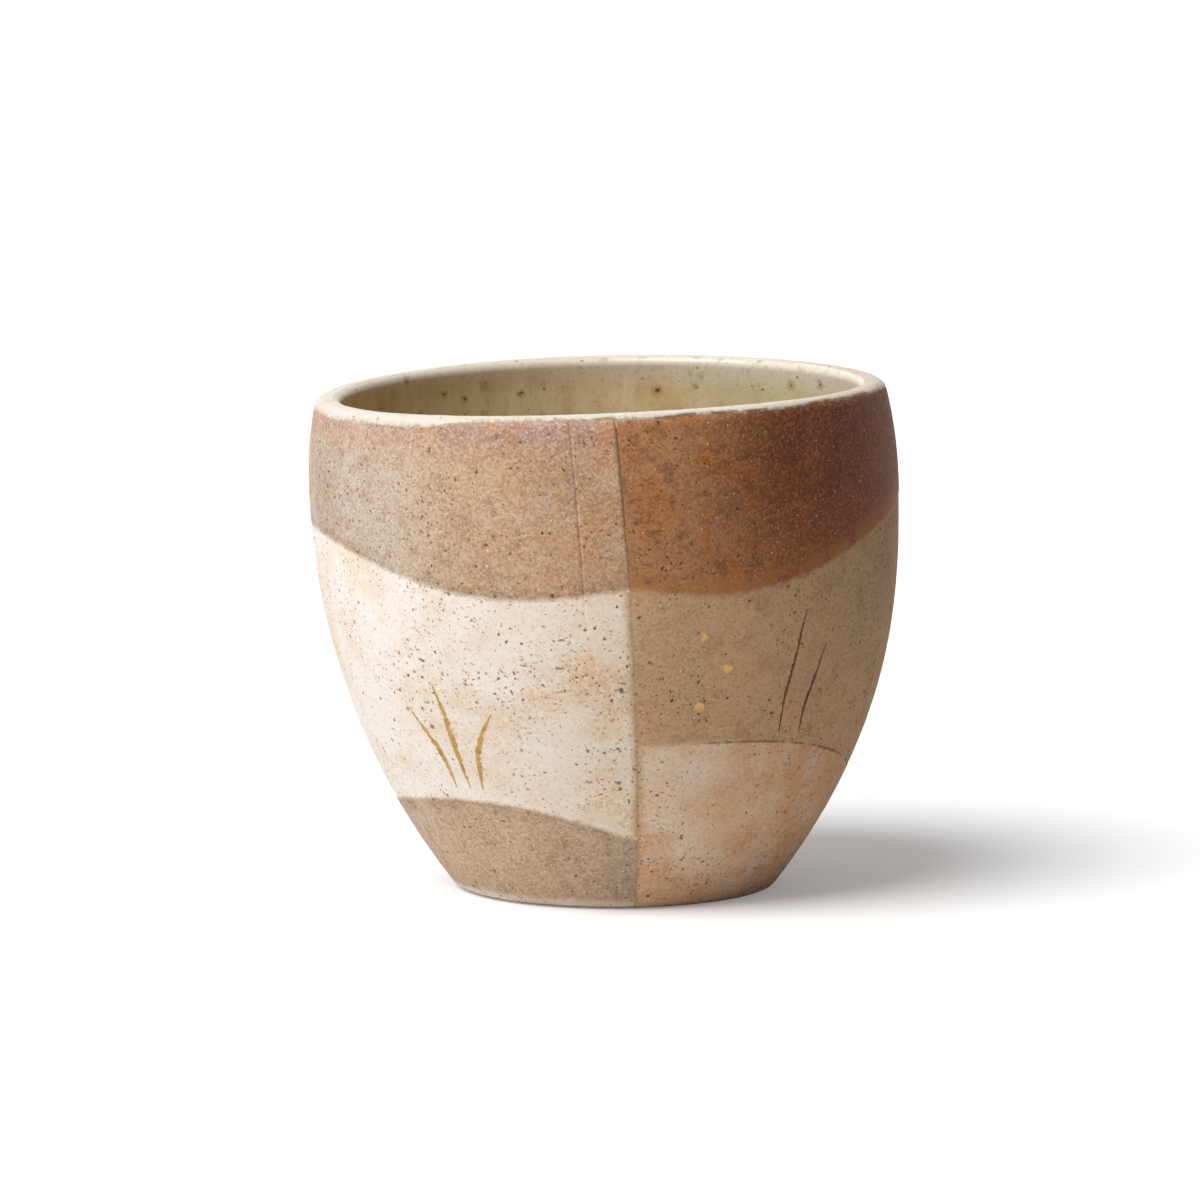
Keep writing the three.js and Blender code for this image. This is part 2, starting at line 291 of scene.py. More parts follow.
def turned(name, profile, columns):
    """Spins a closed profile of (radius, height) points round the cup's axis."""
    piece = started(name, bpy.ops.mesh.primitive_plane_add, size=MM, location=(0, 0, 0))
    bpy.ops.object.mode_set(mode="EDIT")
    bpy.ops.mesh.select_all(action="SELECT")
    bpy.ops.mesh.merge(type="CENTER")
    place = Vector((0, 0, 0))
    for number, (radius, z) in enumerate(list(profile) + [profile[0]]):
        target = Vector((0, -radius * MM, z * MM))
        if number == 0:
            bpy.ops.transform.translate(value=target - place)
        else:
            bpy.ops.mesh.extrude_region_move(TRANSFORM_OT_translate={"value": target - place})
        place = target
    bpy.ops.mesh.select_all(action="SELECT")
    bpy.ops.mesh.remove_doubles(threshold=merge_within * MM)
    bpy.ops.mesh.select_all(action="SELECT")
    bpy.ops.mesh.spin(steps=columns, angle=2 * math.pi, center=(0, 0, 0), axis=(0, 0, 1),
                      use_auto_merge=True)
    bpy.ops.mesh.select_all(action="SELECT")
    bpy.ops.mesh.remove_doubles(threshold=merge_within * MM)
    bpy.ops.mesh.delete_loose()
    bpy.ops.mesh.select_all(action="SELECT")
    bpy.ops.mesh.normals_make_consistent(inside=False)
    bpy.ops.object.mode_set(mode="OBJECT")
    return piece


# %% Gathering the columns
ruler_marks = 6001
seam_crowding = 5
seam_spread = 1.2
crease_crowding = 3
crease_spread = 0.8


def gathered(share, start, end):
    """Lengths round the wall for even shares, closer together at the seam and the crease."""
    ruler = np.linspace(start, end, ruler_marks)
    closeness = 1 + seam_crowding * bell(ruler, seam_spread)
    closeness = closeness + crease_crowding * bell(ruler + lap_width, crease_spread)
    count = np.concatenate([[0], np.cumsum((closeness[1:] + closeness[:-1]) / 2)])
    return np.interp(share * count[-1], count, ruler)


def round_places(piece):
    """Radius, gathered angle and height of each point of a turned piece."""
    x, y, z = points_of(piece).T
    half_round = math.pi * belly_radius
    share = (np.arctan2(x, -y) + math.pi) / (2 * math.pi)
    angle = seam_angle + np.degrees(gathered(share, -half_round, half_round) / belly_radius)
    return np.hypot(x, y), angle, z


print("columns lie", 1 + seam_crowding, "times as close at the seam")

# %% [markdown]
# The wall slab is rolled clay, about 4 mm thick, with a rounded lip and a foot edge that was wiped with a
# finger. It is turned as one closed profile, because inside and outside then share their edges. Its foot has
# a small chip at the front left, where the edge lifts off the table.

# %% Profile of the wall
wall_rows = 110
inside_rows = 30
lip_steps = 8
foot_steps = 4


def quarter(steps):
    """Angles of a quarter round, in radians."""
    return np.linspace(0, math.pi / 2, steps + 1)


def lip_curve(clearance):
    """The rounded lip from its outer shoulder over the top to its inner one, a clearance above the clay."""
    reach = lip_round + clearance
    side = reach * np.cos(quarter(lip_steps))
    z = lip_shoulder + reach * np.sin(quarter(lip_steps))
    outer = np.stack([wall_radius_at(z, side - lip_round), z], axis=-1)
    inner = np.stack([wall_radius_at(z, lip_round - side - wall_thickness), z], axis=-1)[::-1]
    return np.concatenate([outer, inner])


def face_rows(low, high, rows, rise):
    """Points up the wall at a rise above its outside."""
    z = np.linspace(low, high, rows)
    return np.stack([wall_radius_at(z, rise), z], axis=-1)


foot_sides = foot_round * np.sin(quarter(foot_steps))
foot_heights = foot_round * (1 - np.cos(quarter(foot_steps)))
wall_profile = np.concatenate([
    [(wall_radius_at(z, side - foot_round), z) for side, z in zip(foot_sides, foot_heights)],
    face_rows(foot_round, lip_shoulder, wall_rows, 0)[1:-1],
    lip_curve(0),
    face_rows(0, lip_shoulder, inside_rows, -wall_thickness)[::-1][1:],
])
print("points in the wall's profile:", len(wall_profile))

# %% The clay wall
wall_columns = 480
chip_angle = -43.0
chip_height = 0.4
chip_width = 1.3
chip_top = 2.2
chip_full = 0.4

clay_wall = turned("clay_wall", wall_profile, wall_columns)
radius, angle, z = round_places(clay_wall)
outside = radius > wall_radius_at(z, -wall_thickness / 2)
radius = radius + np.where(outside, worked_relief(angle, z), 0)
chip = bell(from_seam(angle, z) - from_seam(chip_angle, z), chip_width)
z = z + np.where(outside, chip_height * chip * ease(chip_top, chip_full, z), 0)
put_points(clay_wall, round_points(radius, angle, z))
roughen(clay_wall)
seat(clay_wall, "stoneware", "wall_slab")

# %% [markdown]
# The floor is a disc of the same clay, set inside the foot. From outside only its underside shows. A
# cylinder is flared like the wall, its lower edge is bevelled, and the underside is inset and lifted into a
# shallow hollow, as a base has that was tapped in with the fist so that the cup stands steady.

# %% The floor disc
base_thickness = 5.0
slurry_thickness = 0.5
joint_clearance = 0.15
joint_gap = slurry_thickness + 2 * joint_clearance
disc_radius = float(wall_radius_at(0.0, -wall_thickness - joint_gap))
disc_flare = float(wall_radius_at(base_thickness, -wall_thickness - joint_gap)) / disc_radius
disc_columns = 160
disc_bevel = 0.3
bevel_steps = 3
hollow_insets = ((2.5, 0.0), (1.2, 0.2), (1.2, 0.15), (3.0, 0.05))
nearly_level = 0.9
quite_level = 0.99
on_table = 0.01


def pick_faces(piece, wanted):
    """Goes into edit mode with only the wanted faces selected."""
    bpy.ops.object.mode_set(mode="EDIT")
    bpy.ops.mesh.select_all(action="DESELECT")
    bpy.ops.object.mode_set(mode="OBJECT")
    for face in piece.data.polygons:
        face.select = wanted(face)
    bpy.ops.object.mode_set(mode="EDIT")


floor_disc = started("floor_disc", bpy.ops.mesh.primitive_cylinder_add, vertices=disc_columns,
                     radius=disc_radius * MM, depth=base_thickness * MM,
                     location=(0, 0, base_thickness / 2 * MM))
bpy.ops.object.transform_apply(location=True)
pick_faces(floor_disc, lambda face: face.normal.z > nearly_level)
bpy.ops.transform.resize(value=(disc_flare, disc_flare, 1))
pick_faces(floor_disc, lambda face: face.normal.z < -nearly_level)
bpy.ops.mesh.bevel(offset=disc_bevel * MM, segments=bevel_steps, affect="EDGES")
pick_faces(floor_disc, lambda face: face.normal.z < -quite_level and face.center.z < on_table * MM)
for width, lift in hollow_insets:
    bpy.ops.mesh.inset(thickness=width * MM, depth=0)
    bpy.ops.transform.translate(value=(0, 0, lift * MM))
bpy.ops.object.mode_set(mode="OBJECT")
seat(floor_disc, "stoneware", "base_disc")

# %% [markdown]
# The bowl is lined with a satin glaze. It covers the floor, runs up the hollow curve of the coil that was
# pressed into the corner, and ends under the lip's glaze. The profile follows that curve, and slow waves
# along it keep the lining from looking turned on a machine.

# %% Inside of the bowl
coat_clearance = 0.15
glaze_thickness = 0.6
glaze_sunk = -0.15
glaze_proud = 0.08
coil_width = 5.0
coil_height = 5.0
coil_top = base_thickness + coil_height
coil_fullness = 0.35
curve_rows = 14
under_rows = 24
over_rows = 70
thinning = 9.0


def bowl_face(clearance, at_lip, rows):
    """The bowl's inside from the middle of its floor over the lip's inner edge, a clearance off the clay."""
    low = base_thickness + clearance
    corner = np.array([wall_radius_at(low, -wall_thickness - clearance), low])
    foot = corner - [coil_width, 0]
    head = np.array([wall_radius_at(coil_top, -wall_thickness - clearance), coil_top])
    bend = corner + coil_fullness * ((foot + head) / 2 - corner)
    share = np.linspace(0, 1, curve_rows)[:, None]
    curve = (1 - share) ** 2 * foot + 2 * share * (1 - share) * bend + share ** 2 * head
    floor = np.stack([np.linspace(0, foot[0], curve_rows), np.full(curve_rows, low)], axis=-1)[:-1]
    z = np.linspace(coil_top, lip_shoulder, rows)
    off = clearance + (at_lip - clearance) * ease(lip_shoulder - thinning, lip_shoulder, z)
    wall = np.stack([wall_radius_at(z, -wall_thickness - off), z], axis=-1)[1:-1]
    edge = lip_curve(at_lip)[::-1][:lip_steps]
    return np.concatenate([floor, curve, wall, edge])


glaze_under = bowl_face(2 * coat_clearance, glaze_sunk, under_rows)
glaze_over = bowl_face(2 * coat_clearance + glaze_thickness, glaze_proud, over_rows)
print("points in the glaze's profile:", len(glaze_under) + len(glaze_over))

# %% The bowl's glaze
bowl_columns = 300
bowl_wave = 0.12
bowl_waves = ((5, 9, 0), (3, -13, 0), (17, 21, 0))
bowl_wave_share = 0.4
wave_from = 30
wave_to = 60

bowl_glaze = turned("bowl_glaze", np.concatenate([glaze_under, glaze_over[::-1]]), bowl_columns)
radius, angle, z = round_places(bowl_glaze)
waves = finger_waves(angle, z, bowl_waves, bowl_wave_share)
on_the_wall = ease(coil_top, wave_from, z) * ease(lip_shoulder, wave_to, z)
radius = radius - bowl_wave * on_the_wall * (1 + waves) / 2
put_points(bowl_glaze, round_points(radius, angle, z))
seat(bowl_glaze, "olive_glaze", "inner_glaze")

# %% [markdown]
# The lip was wiped and dipped, so a pale glaze lies over it like a thin bead. Its lower edge on the outside
# wanders and is never level. That line, and the way over the lip from outside to inside, are written first.
# Sines of uneven counts look drawn by hand and still close round the cup.

# %% Lines of the lip
lip_top_flat = wall_thickness - 2 * lip_round
lip_quarter = lip_round * math.pi / 2
lip_overlap = 0.75
lip_end = lip_quarter + lip_top_flat + lip_overlap
skirt_height = 0.75
skirt_drop = 0.8
skirt_left = (12, 50)
skirt_back = (175, 120)
skirt_sway = 0.5
skirt_ripple = 0.12
end_sway = 0.3
end_ripple = 0.1
slow_turn = 40
quick_turn = 20
slow_waves = ((2, 0.35, 0.4), (5, 0.3, 2.2), (9, 0.25, 4.0), (14, 0.2, 1.1), (23, 0.16, 5.2))
quick_waves = ((37, 0.25, 0.3), (53, 0.22, 2.9), (71, 0.2, 1.7), (97, 0.16, 4.4), (131, 0.12, 0.9))


def wander(angle, waves):
    """An uneven line round the cup, as a sum of (waves, share, phase) sines."""
    turn = np.radians(angle)
    return sum(share * np.sin(count * turn + phase) for count, share, phase in waves)


def lip_path(run, clearance):
    """Radius and height along the way over the lip, from its outer shoulder to the inside of the bowl."""
    reach = lip_round + clearance
    outer = np.clip(run / lip_round, 0, math.pi / 2)
    inner = np.clip((run - lip_quarter - lip_top_flat) / lip_round, 0, math.pi / 2)
    flat = np.clip(run - lip_quarter, 0, lip_top_flat)
    below = np.minimum(run, 0) - np.maximum(run - 2 * lip_quarter - lip_top_flat, 0)
    past_top = run > lip_quarter + lip_top_flat
    z = lip_shoulder + below + reach * np.where(past_top, np.cos(inner), np.sin(outer))
    outside_rise = reach * np.cos(outer) - lip_round - flat
    inside_rise = lip_round - wall_thickness - reach * np.sin(inner)
    return wall_radius_at(z, np.where(past_top, inside_rise, outside_rise)), z


def skirt_line(angle):
    """Where the glaze ends on the outside, along the same way: low on the left, high at the front."""
    turned_left = (-angle + 180) % 360 - 180
    low_left = skirt_drop * ease(*skirt_left, turned_left) * ease(*skirt_back, turned_left)
    sway = skirt_sway * wander(angle, slow_waves)
    return skirt_height - low_left + sway + skirt_ripple * wander(angle, quick_waves)


def inner_line(angle):
    """Where the glaze ends in the bowl, along the same way. It is turned against the other line."""
    sway = end_sway * wander(angle + slow_turn, slow_waves)
    return lip_end + sway + end_ripple * wander(angle + quick_turn, quick_waves)


print("the glaze hangs from", skirt_line(np.arange(360.0)).min(), "mm along the way over the lip")

# %% [markdown]
# A hoop is turned, and its points are then laid between the two lines, so that each edge is a crisp line in
# the mesh. The ridge is a little worn, and there is a nick where the seam runs out over the lip.

# %% The lip's glaze
lip_film = 0.18
lip_columns = 720
lip_rows = 22
film_edge = 0.35
film_sunk = 0.05
film_back = -0.12
wear_from = 0.4
wear_sway = 0.035
wear_ripple = 0.014
slow_peak = 1.3
nick_depth = 0.05
nick_width = 0.5

hoop_side = np.linspace(0, 1, lip_rows + 1) * lip_height
hoop = [(rim_radius, side) for side in hoop_side[::-1]] + [(belly_radius, side) for side in hoop_side]
lip_bead = turned("lip_bead", hoop, lip_columns)
radius, angle, z = round_places(lip_bead)
out = radius > (rim_radius + belly_radius) / 2
up = z / lip_height
skirt, ending = skirt_line(angle), inner_line(angle)
run = skirt + (ending - skirt) * up
thin = ease(0, film_edge, run - skirt) * ease(0, film_edge, ending - run)
radius, z = lip_path(run, np.where(out, -film_sunk + (lip_film + film_sunk) * thin, film_back))
over_top = ease(lip_shoulder + wear_from, lip_height, z)
worn = wear_sway * (1 + wander(angle, slow_waves) / slow_peak) + wear_ripple * wander(angle, quick_waves)
z = z - over_top * (worn + nick_depth * bell(from_seam(angle, z), nick_width))
radius = radius + worked_relief(angle, z) * (1 - ease(0, 2 * lip_quarter, run)) * (1 - over_top)
put_points(lip_bead, round_points(radius, angle, z))
keep_value(lip_bead, "edge_mm", run - skirt)
roughen(lip_bead)
seat(lip_bead, "pale_glaze", "lip_glaze")

# %% [markdown]
# Slip is thin liquid clay. The leather-hard cup is dipped, so each slip ends in a slow, swinging line. That
# line is a function of the angle, measured from the lip or from the foot. At its far end it draws back, so
# that the slip closes as a dipped patch does.

# %% Lines of the slips
coat_gap = 0.4
foot_margin = 1.6
dip_swing = 2.5
run_out_power = 6
lip_skirt = 1.3
slip_top = lip_shoulder - lip_skirt - coat_gap
column_step = 6.0
seam_margin = math.degrees(coat_gap / belly_radius) / 2
soft_edge = 1.0
under_glaze = 1.2
hidden_top = lip_shoulder + under_glaze
foot_line = 0.35
least_height = 0.3
rim_draw_back = hidden_top - slip_top + soft_edge - least_height
foot_draw_back = foot_margin + soft_edge - foot_line - least_height


def left_column(count):
    """Angle a whole number of steps to the left of the seam."""
    return seam_angle - seam_margin - count * column_step


def right_column(count):
    """Angle a whole number of steps to the right of the seam."""
    return seam_angle + seam_margin + count * column_step


def dip_line(start, end, at_seam, at_far, turns, draw_back):
    """How far a slip reaches from the lip or the foot, as a function of the angle. It closes at its end."""
    def reach(angle):
        share = (angle - start) / (end - start)
        swing = dip_swing * np.sin(2 * math.pi * turns * share)
        level = at_seam + (at_far - at_seam) * share + swing
        closed = np.clip(share, 0, 1) ** run_out_power
        return level * (1 - closed) - draw_back * closed
    return reach


def below_lip(dip):
    """The lines of a slip at the lip: its dipped edge, and one that hides under the lip's glaze."""
    return (lambda angle: slip_top - dip(angle) - soft_edge, lambda angle: 0 * angle + hidden_top)


def above_foot(rise):
    """The lines of a slip at the foot: one just above the table, and its dipped edge."""
    return (lambda angle: 0 * angle + foot_line, lambda angle: foot_margin + rise(angle) + soft_edge)


print("slips start", lip_height - slip_top, "mm below the lip")

# %% [markdown]
# A coat starts as a flat grid with a Solidify modifier, and its points are then laid on the wall between
# two lines of height. Its edge sinks into the clay over about a millimetre, and the distance from that edge
# is kept as an attribute. The material uses it to let the slip thin out in a soft, grainy edge.

# %% Points on the worked clay
def round_over(z):
    """How far the clay's outside draws in at the rounded lip and foot."""
    past = np.clip(z - lip_shoulder, 0, lip_round)
    under = np.clip(foot_round - z, 0, foot_round)
    at_lip = lip_round - np.sqrt(lip_round ** 2 - past ** 2)
    return at_lip + foot_round - np.sqrt(foot_round ** 2 - under ** 2)


def on_clay(angle, z, rise):
    """Points at a rise above the worked clay."""
    return round_points(wall_radius_at(z, rise + worked_relief(angle, z)), angle, z)


def flat_sheet(name, columns, rows):
    """A thin slab one millimetre square and high, with its points as shares along, up and out."""
    piece = started(name, bpy.ops.mesh.primitive_grid_add, x_subdivisions=columns, y_subdivisions=rows,
                    size=MM, location=(MM / 2, MM / 2, MM))
    bpy.ops.object.transform_apply(location=True)
    apply_modifier(piece, "SOLIDIFY", thickness=MM, offset=-1)
    return piece, points_of(piece).T


print("the foot's edge draws in by", round_over(0.0), "mm")

# %% Laying a coat
slip_rise = 0.08
buried = 0.06
coat_back = 0.12
seam_gap_high = 0.07
seam_gap_low = -0.12
gap_fade = 2.0
seam_cover = 0.55
seam_fade = 0.6
seam_wear = 0.1
seam_wear_width = 0.4


def laid_coat(name, end_angle, lower, upper, rise, columns, rows, soft):
    """A coat from the seam to an end angle, between two lines. soft names the edges that thin out."""
    piece, (along, up, out) = flat_sheet(name, columns, rows)
    side = -1 if end_angle < seam_angle else 1
    far = math.radians(end_angle - seam_angle) * belly_radius
    aside = gathered(along, min(far, 0), max(far, 0))
    angle = seam_angle + np.degrees(aside / belly_radius)
    low, high = lower(angle), upper(angle)
    z = low + (high - low) * up
    gap = seam_gap_low + (seam_gap_high - seam_gap_low) * seam_sharpness(z)
    angle = angle + np.degrees(side * gap / 2 / wall_radius(z)) * ease(gap_fade, 0.0, abs(aside))
    edges = {"low": z - low, "high": high - z, "far": abs(far - aside) * wall_radius(z) / belly_radius,
             "seam": seam_cover + seam_fade * abs(aside)}
    edge = np.min([edges[which] for which in soft], axis=0)
    worn_in = seam_wear * ease(seam_wear_width, 0.0, abs(aside)) * seam_sharpness(z)
    top = -buried + (rise + buried) * ease(0, soft_edge, edge) - worn_in
    lift = np.where(out > 0.5, top, np.minimum(top, 0) - coat_back) - round_over(z)
    put_points(piece, on_clay(angle, z, lift))
    keep_value(piece, "edge_mm", edge)
    roughen(piece)
    return piece


print("a slip stands", slip_rise, "mm above the clay, and its edge is", buried, "mm under it")

# %% [markdown]
# The cream slip covers the left of the cup and has a round end at the back. It goes on first, so it reaches
# a little under the brown slips at the lip and at the foot.

# %% Edges of the cream slip
brown_rim_end = left_column(24)
brown_foot_end = left_column(20)
cream_end = left_column(30)
cream_tongue = 66.0
cream_blunt = 0.4
cream_bulge = 44.0
cream_middle = lip_height / 2
cream_tuck = 2.6
brown_rim_dip = dip_line(left_column(0), brown_rim_end, at_seam=22, at_far=17, turns=1.4,
                         draw_back=rim_draw_back)
brown_foot_rise = dip_line(left_column(0), brown_foot_end, at_seam=10, at_far=20, turns=1,
                           draw_back=foot_draw_back)


def cream_lower(angle):
    """The cream's lower line, at the brown slip of the foot."""
    return foot_margin + brown_foot_rise(angle) + coat_gap


def cream_upper(angle):
    """The cream's upper line, at the brown slip of the lip."""
    return slip_top - brown_rim_dip(angle) - coat_gap


def round_end(angle):
    """How far the cream reaches up and down from its middle, as its end curves round."""
    to_end = np.clip(1 - (angle - cream_end + cream_blunt) / cream_tongue, 0, 1)
    return cream_bulge * np.sqrt(1 - to_end ** 2)


def cream_bottom(angle):
    """The cream's lower edge, tucked under the brown slip or on the round end."""
    tucked = np.maximum(cream_lower(angle) - cream_tuck, foot_line)
    return np.maximum(cream_middle - round_end(angle), tucked)


def cream_top(angle):
    """The cream's upper edge, tucked under the brown slip or on the round end."""
    tucked = np.minimum(cream_upper(angle) + cream_tuck, hidden_top)
    return np.minimum(cream_middle + round_end(angle), tucked)


print("the cream is", cream_top(0.0) - cream_bottom(0.0), "mm tall at the front")

# %% The cream slip
cream = laid_coat("cream_coat", cream_end, cream_bottom, cream_top, slip_rise, columns=300, rows=110,
                  soft=("low", "high", "far", "seam"))
seat(cream, "cream_slip", "cream_slip")

# %% [markdown]
# The brown slip was poured over the cream at the lip and at the foot. It is sandy and thick. Its upper edge
# hides under the lip's glaze, and its lower one at the foot stops short of the table.

# %% The brown slips
brown_rise = 0.16
brown_rim = laid_coat("brown_rim_coat", brown_rim_end, *below_lip(brown_rim_dip), brown_rise,
                      columns=300, rows=44, soft=("low", "far"))
seat(brown_rim, "brown_slip", "brown_rim_slip")
brown_foot = laid_coat("brown_foot_coat", brown_foot_end, *above_foot(brown_foot_rise), brown_rise,
                       columns=220, rows=36, soft=("high", "far"))
seat(brown_foot, "brown_slip", "brown_foot_slip")

# %% [markdown]
# Right of the seam the clay stays bare between an iron-red slip at the lip and a pale peach one at the
# foot. They are laid like the brown ones, only thinner.

# %% The rust and peach slips
rust_end = right_column(19)
peach_end = right_column(25)
rust_rim_dip = dip_line(right_column(0), rust_end, at_seam=22, at_far=16, turns=1.2,
                        draw_back=rim_draw_back)
peach_foot_rise = dip_line(right_column(0), peach_end, at_seam=25, at_far=12, turns=1.1,
                           draw_back=foot_draw_back)
rust_rim = laid_coat("rust_rim_coat", rust_end, *below_lip(rust_rim_dip), slip_rise,
                     columns=260, rows=44, soft=("low", "far"))
seat(rust_rim, "rust_slip", "rust_rim_slip")
peach_foot = laid_coat("peach_foot_coat", peach_end, *above_foot(peach_foot_rise), slip_rise,
                       columns=260, rows=50, soft=("high", "far", "seam"))
seat(peach_foot, "peach_slip", "peach_foot_slip")

# %% [markdown]
# In the seam the slurry that joined the slab's ends shows as a thin dark line. It could be drawn in the
# clay's material, but a narrow strip in the groove stays crisp, and the coats stand over it on both sides.

# %% The slurry in the seam
strip_width = 0.5
strip_columns = 3
strip_rows = 120
strip_depth = 0.22
strip_lift = 0.1
strip_back = -0.5
strip_short = 0.2
strip_top = lip_shoulder - strip_short

slurry_line, (along, up, out) = flat_sheet("slurry_line", strip_columns, strip_rows)
z = foot_round + (strip_top - foot_round) * up
angle = seam_angle + np.degrees((along - 0.5) * strip_width / wall_radius(z))
lift = np.where(out > 0.5, -strip_depth + strip_lift * seam_sharpness(z), strip_back)
put_points(slurry_line, round_points(wall_radius_at(z, lift - hollow_depth / 2), angle, z))
seat(slurry_line, "slurry", "seam_slurry")

# %% [markdown]
# The marks are put on last with a brush. A blade or a reed springs from a foot, swells and bends aside. Its
# sides are a little ragged, and it thins out at its ends. Each stroke is a thin sheet on the coat below it.

# %% Brush strokes
mark_tip = 0.3
film = 0.05
mark_sunk = 0.06
mark_back = 0.12
mark_side = 0.35
tip_share = 0.02
ragged_share = 0.14
ragged_waves = (23, 61)
stray_width = 0.12
stray_waves = 9
stroke_columns = 8
stroke_rows = 90


def brush_stroke(name, angle, foot, head, sweep, width, rise):
    """A brush stroke on the wall from a foot to a head, bent aside by a sweep."""
    piece, (along, up, out) = flat_sheet(name, stroke_columns, stroke_rows)
    z = foot + (head - foot) * up
    quick, quicker = ragged_waves
    ragged = 1 + ragged_share * np.sin(quick * up + angle) * np.sin(quicker * up + 2 * angle)
    span = mark_tip + (width * ragged - mark_tip) * np.sin(math.pi * np.clip(up, tip_share, 1 - tip_share))
    stray = stray_width * np.sin(stray_waves * up + angle)
    place = angle + np.degrees((sweep * up ** 2 + stray + (along - 0.5) * span) / wall_radius(z))
    inside = np.minimum(along, 1 - along) * 2
    top = rise - mark_sunk + (film + mark_sunk) * ease(0, mark_side, inside)
    put_points(piece, on_clay(place, z, np.where(out > 0.5, top, rise - mark_back)))
    keep_value(piece, "across", inside)
    roughen(piece)
    return piece


print("a stroke stands", film, "mm above what it lies on")

# %% Blades and reeds
mark_lift = 1.5
blades = (("gold_blade_left", -40.0, 0.38, -1.0), ("gold_blade_middle", -36.0, 0.52, -0.3),
          ("gold_blade_right", -32.0, 0.4, 1.0))
blade_width = 1.5
blade_sweep = 5.0
reeds = (("iron_reed_tall", 40.0, 0.8), ("iron_reed_short", 46.0, 0.55))
reed_width = 0.8
reed_sweep = 3.5
gold_blades = []
iron_reeds = []


def clay_lower(angle):
    """The upper line of the peach slip, where the bare clay starts."""
    return foot_margin + float(peach_foot_rise(angle))


def clay_upper(angle):
    """The lower line of the rust slip, where the bare clay ends."""
    return slip_top - float(rust_rim_dip(angle))


for node, angle, rise, lean in blades:
    foot = float(cream_lower(angle)) + mark_lift
    head = foot + (float(cream_upper(angle)) - foot) * rise
    blade = brush_stroke(node + "_stroke", angle, foot, head, lean * blade_sweep, blade_width, slip_rise)
    gold_blades.append(seat(blade, "gold_lustre", node))
for node, angle, rise in reeds:
    foot = clay_lower(angle) + mark_lift
    head = foot + (clay_upper(angle) - foot) * rise
    reed = brush_stroke(node + "_stroke", angle, foot, head, reed_sweep, reed_width, 0.0)
    iron_reeds.append(seat(reed, "iron_oxide", node))

# %% [markdown]
# A gold dot is one touch of the loaded brush, thicker in its middle. A filled circle is inset three times,
# each time a little higher, thickened, and laid on the wall like the strokes.

# %% Gold dots
dot_radius = 0.9
dot_columns = 48
dot_insets = ((0.12, 0.03), (0.2, 0.02), (0.3, 0.01))
dot_thickness = 0.16
dot_lift = 0.03
dot_wobble = 0.12
dot_lobes = 3
dots = (("gold_dot_low", 20.0, 0.25), ("gold_dot_middle", 26.0, 0.5), ("gold_dot_high", 21.0, 0.72))
gold_dots = []
for node, angle, rise in dots:
    dot = started(node + "_touch", bpy.ops.mesh.primitive_circle_add, vertices=dot_columns,
                  radius=dot_radius * MM, fill_type="NGON")
    bpy.ops.object.mode_set(mode="EDIT")
    bpy.ops.mesh.select_all(action="SELECT")
    for width, height in dot_insets:
        bpy.ops.mesh.inset(thickness=width * MM, depth=height * MM)
    bpy.ops.object.mode_set(mode="OBJECT")
    apply_modifier(dot, "SOLIDIFY", thickness=dot_thickness * MM, offset=-1)
    aside, up, out = points_of(dot).T
    middle = clay_lower(angle) + (clay_upper(angle) - clay_lower(angle)) * rise
    z = middle + up * (1 + dot_wobble * np.sin(dot_lobes * np.arctan2(up, aside) + angle))
    place = angle + np.degrees(aside / wall_radius(z))
    put_points(dot, on_clay(place, z, out + dot_lift))
    keep_value(dot, "across", 1 - np.hypot(aside, up) / dot_radius)
    roughen(dot)
    gold_dots.append(seat(dot, "gold_lustre", node))

# %% [markdown]
# ## Finishes
# Colours are written as sRGB hex and turned to linear here, once. One helper adds a node with its settings
# and links. A pattern's scale comes from the size of its features in millimetres, because the cup is real
# size.

# %% Colours and nodes
def linear(colour):
    """Linear RGBA of an sRGB hex code. A colour that comes from a node stays as it is."""
    if isinstance(colour, bpy.types.NodeSocket):
        return colour
    parts = [int(colour[i:i + 2], 16) / 255 for i in (1, 3, 5)]
    return tuple(c / 12.92 if c <= 0.04045 else ((c + 0.055) / 1.055) ** 2.4 for c in parts) + (1.0,)


def connect(tree, node, links):
    """Links or sets a node's inputs."""
    for socket, value in links.items():
        if isinstance(value, bpy.types.NodeSocket):
            tree.links.new(value, node.inputs[socket])
        else:
            node.inputs[socket].default_value = value


def add(tree, kind, links=None, **settings):
    """Adds a shader node with its settings and links."""
    node = tree.nodes.new("ShaderNode" + kind)
    for name, value in settings.items():
        setattr(node, name, value)
    connect(tree, node, links or {})
    return node


def per_metre(size):
    """Scale of a pattern whose features are a size in millimetres."""
    return 1 / (size * MM)


print("a middle grey is", linear("#808080")[0], "in linear light")

# %% [markdown]
# A finish is a colour, a roughness and a height, so that a thin coat can fade into what lies under it. Its
# colour is built like the real one, as a base with layers over it, each where its masks meet. Grit that is
# too fine for the mesh is a noise, which goes to the bump. The constants go straight to the shader.

# %% Layers of a finish
def layered(tree, base, layers):
    """A colour with layers of (colour, mask, mask, ...) over it. A layer shows where all its masks meet."""
    shown = linear(base)
    for colour, share, *others in layers:
        for mask in others:
            share = add(tree, "Math", {0: share, 1: mask}, operation="MULTIPLY").outputs[0]
        mixed = add(tree, "Mix", {0: share, 6: shown, 7: linear(colour)}, data_type="RGBA")
        shown = mixed.outputs[2]
    return shown


def fired(tree, place, base, layers, rough, grain, gloss=0.3):
    """A finish with a layered colour and a bump of grains of a size."""
    height = add(tree, "TexNoise", {"Vector": place, "Scale": per_metre(grain), "Detail": 3.0,
                                    "Roughness": 0.6}).outputs["Fac"]
    return {"colour": layered(tree, base, layers), "rough": rough, "height": height, "gloss": gloss}


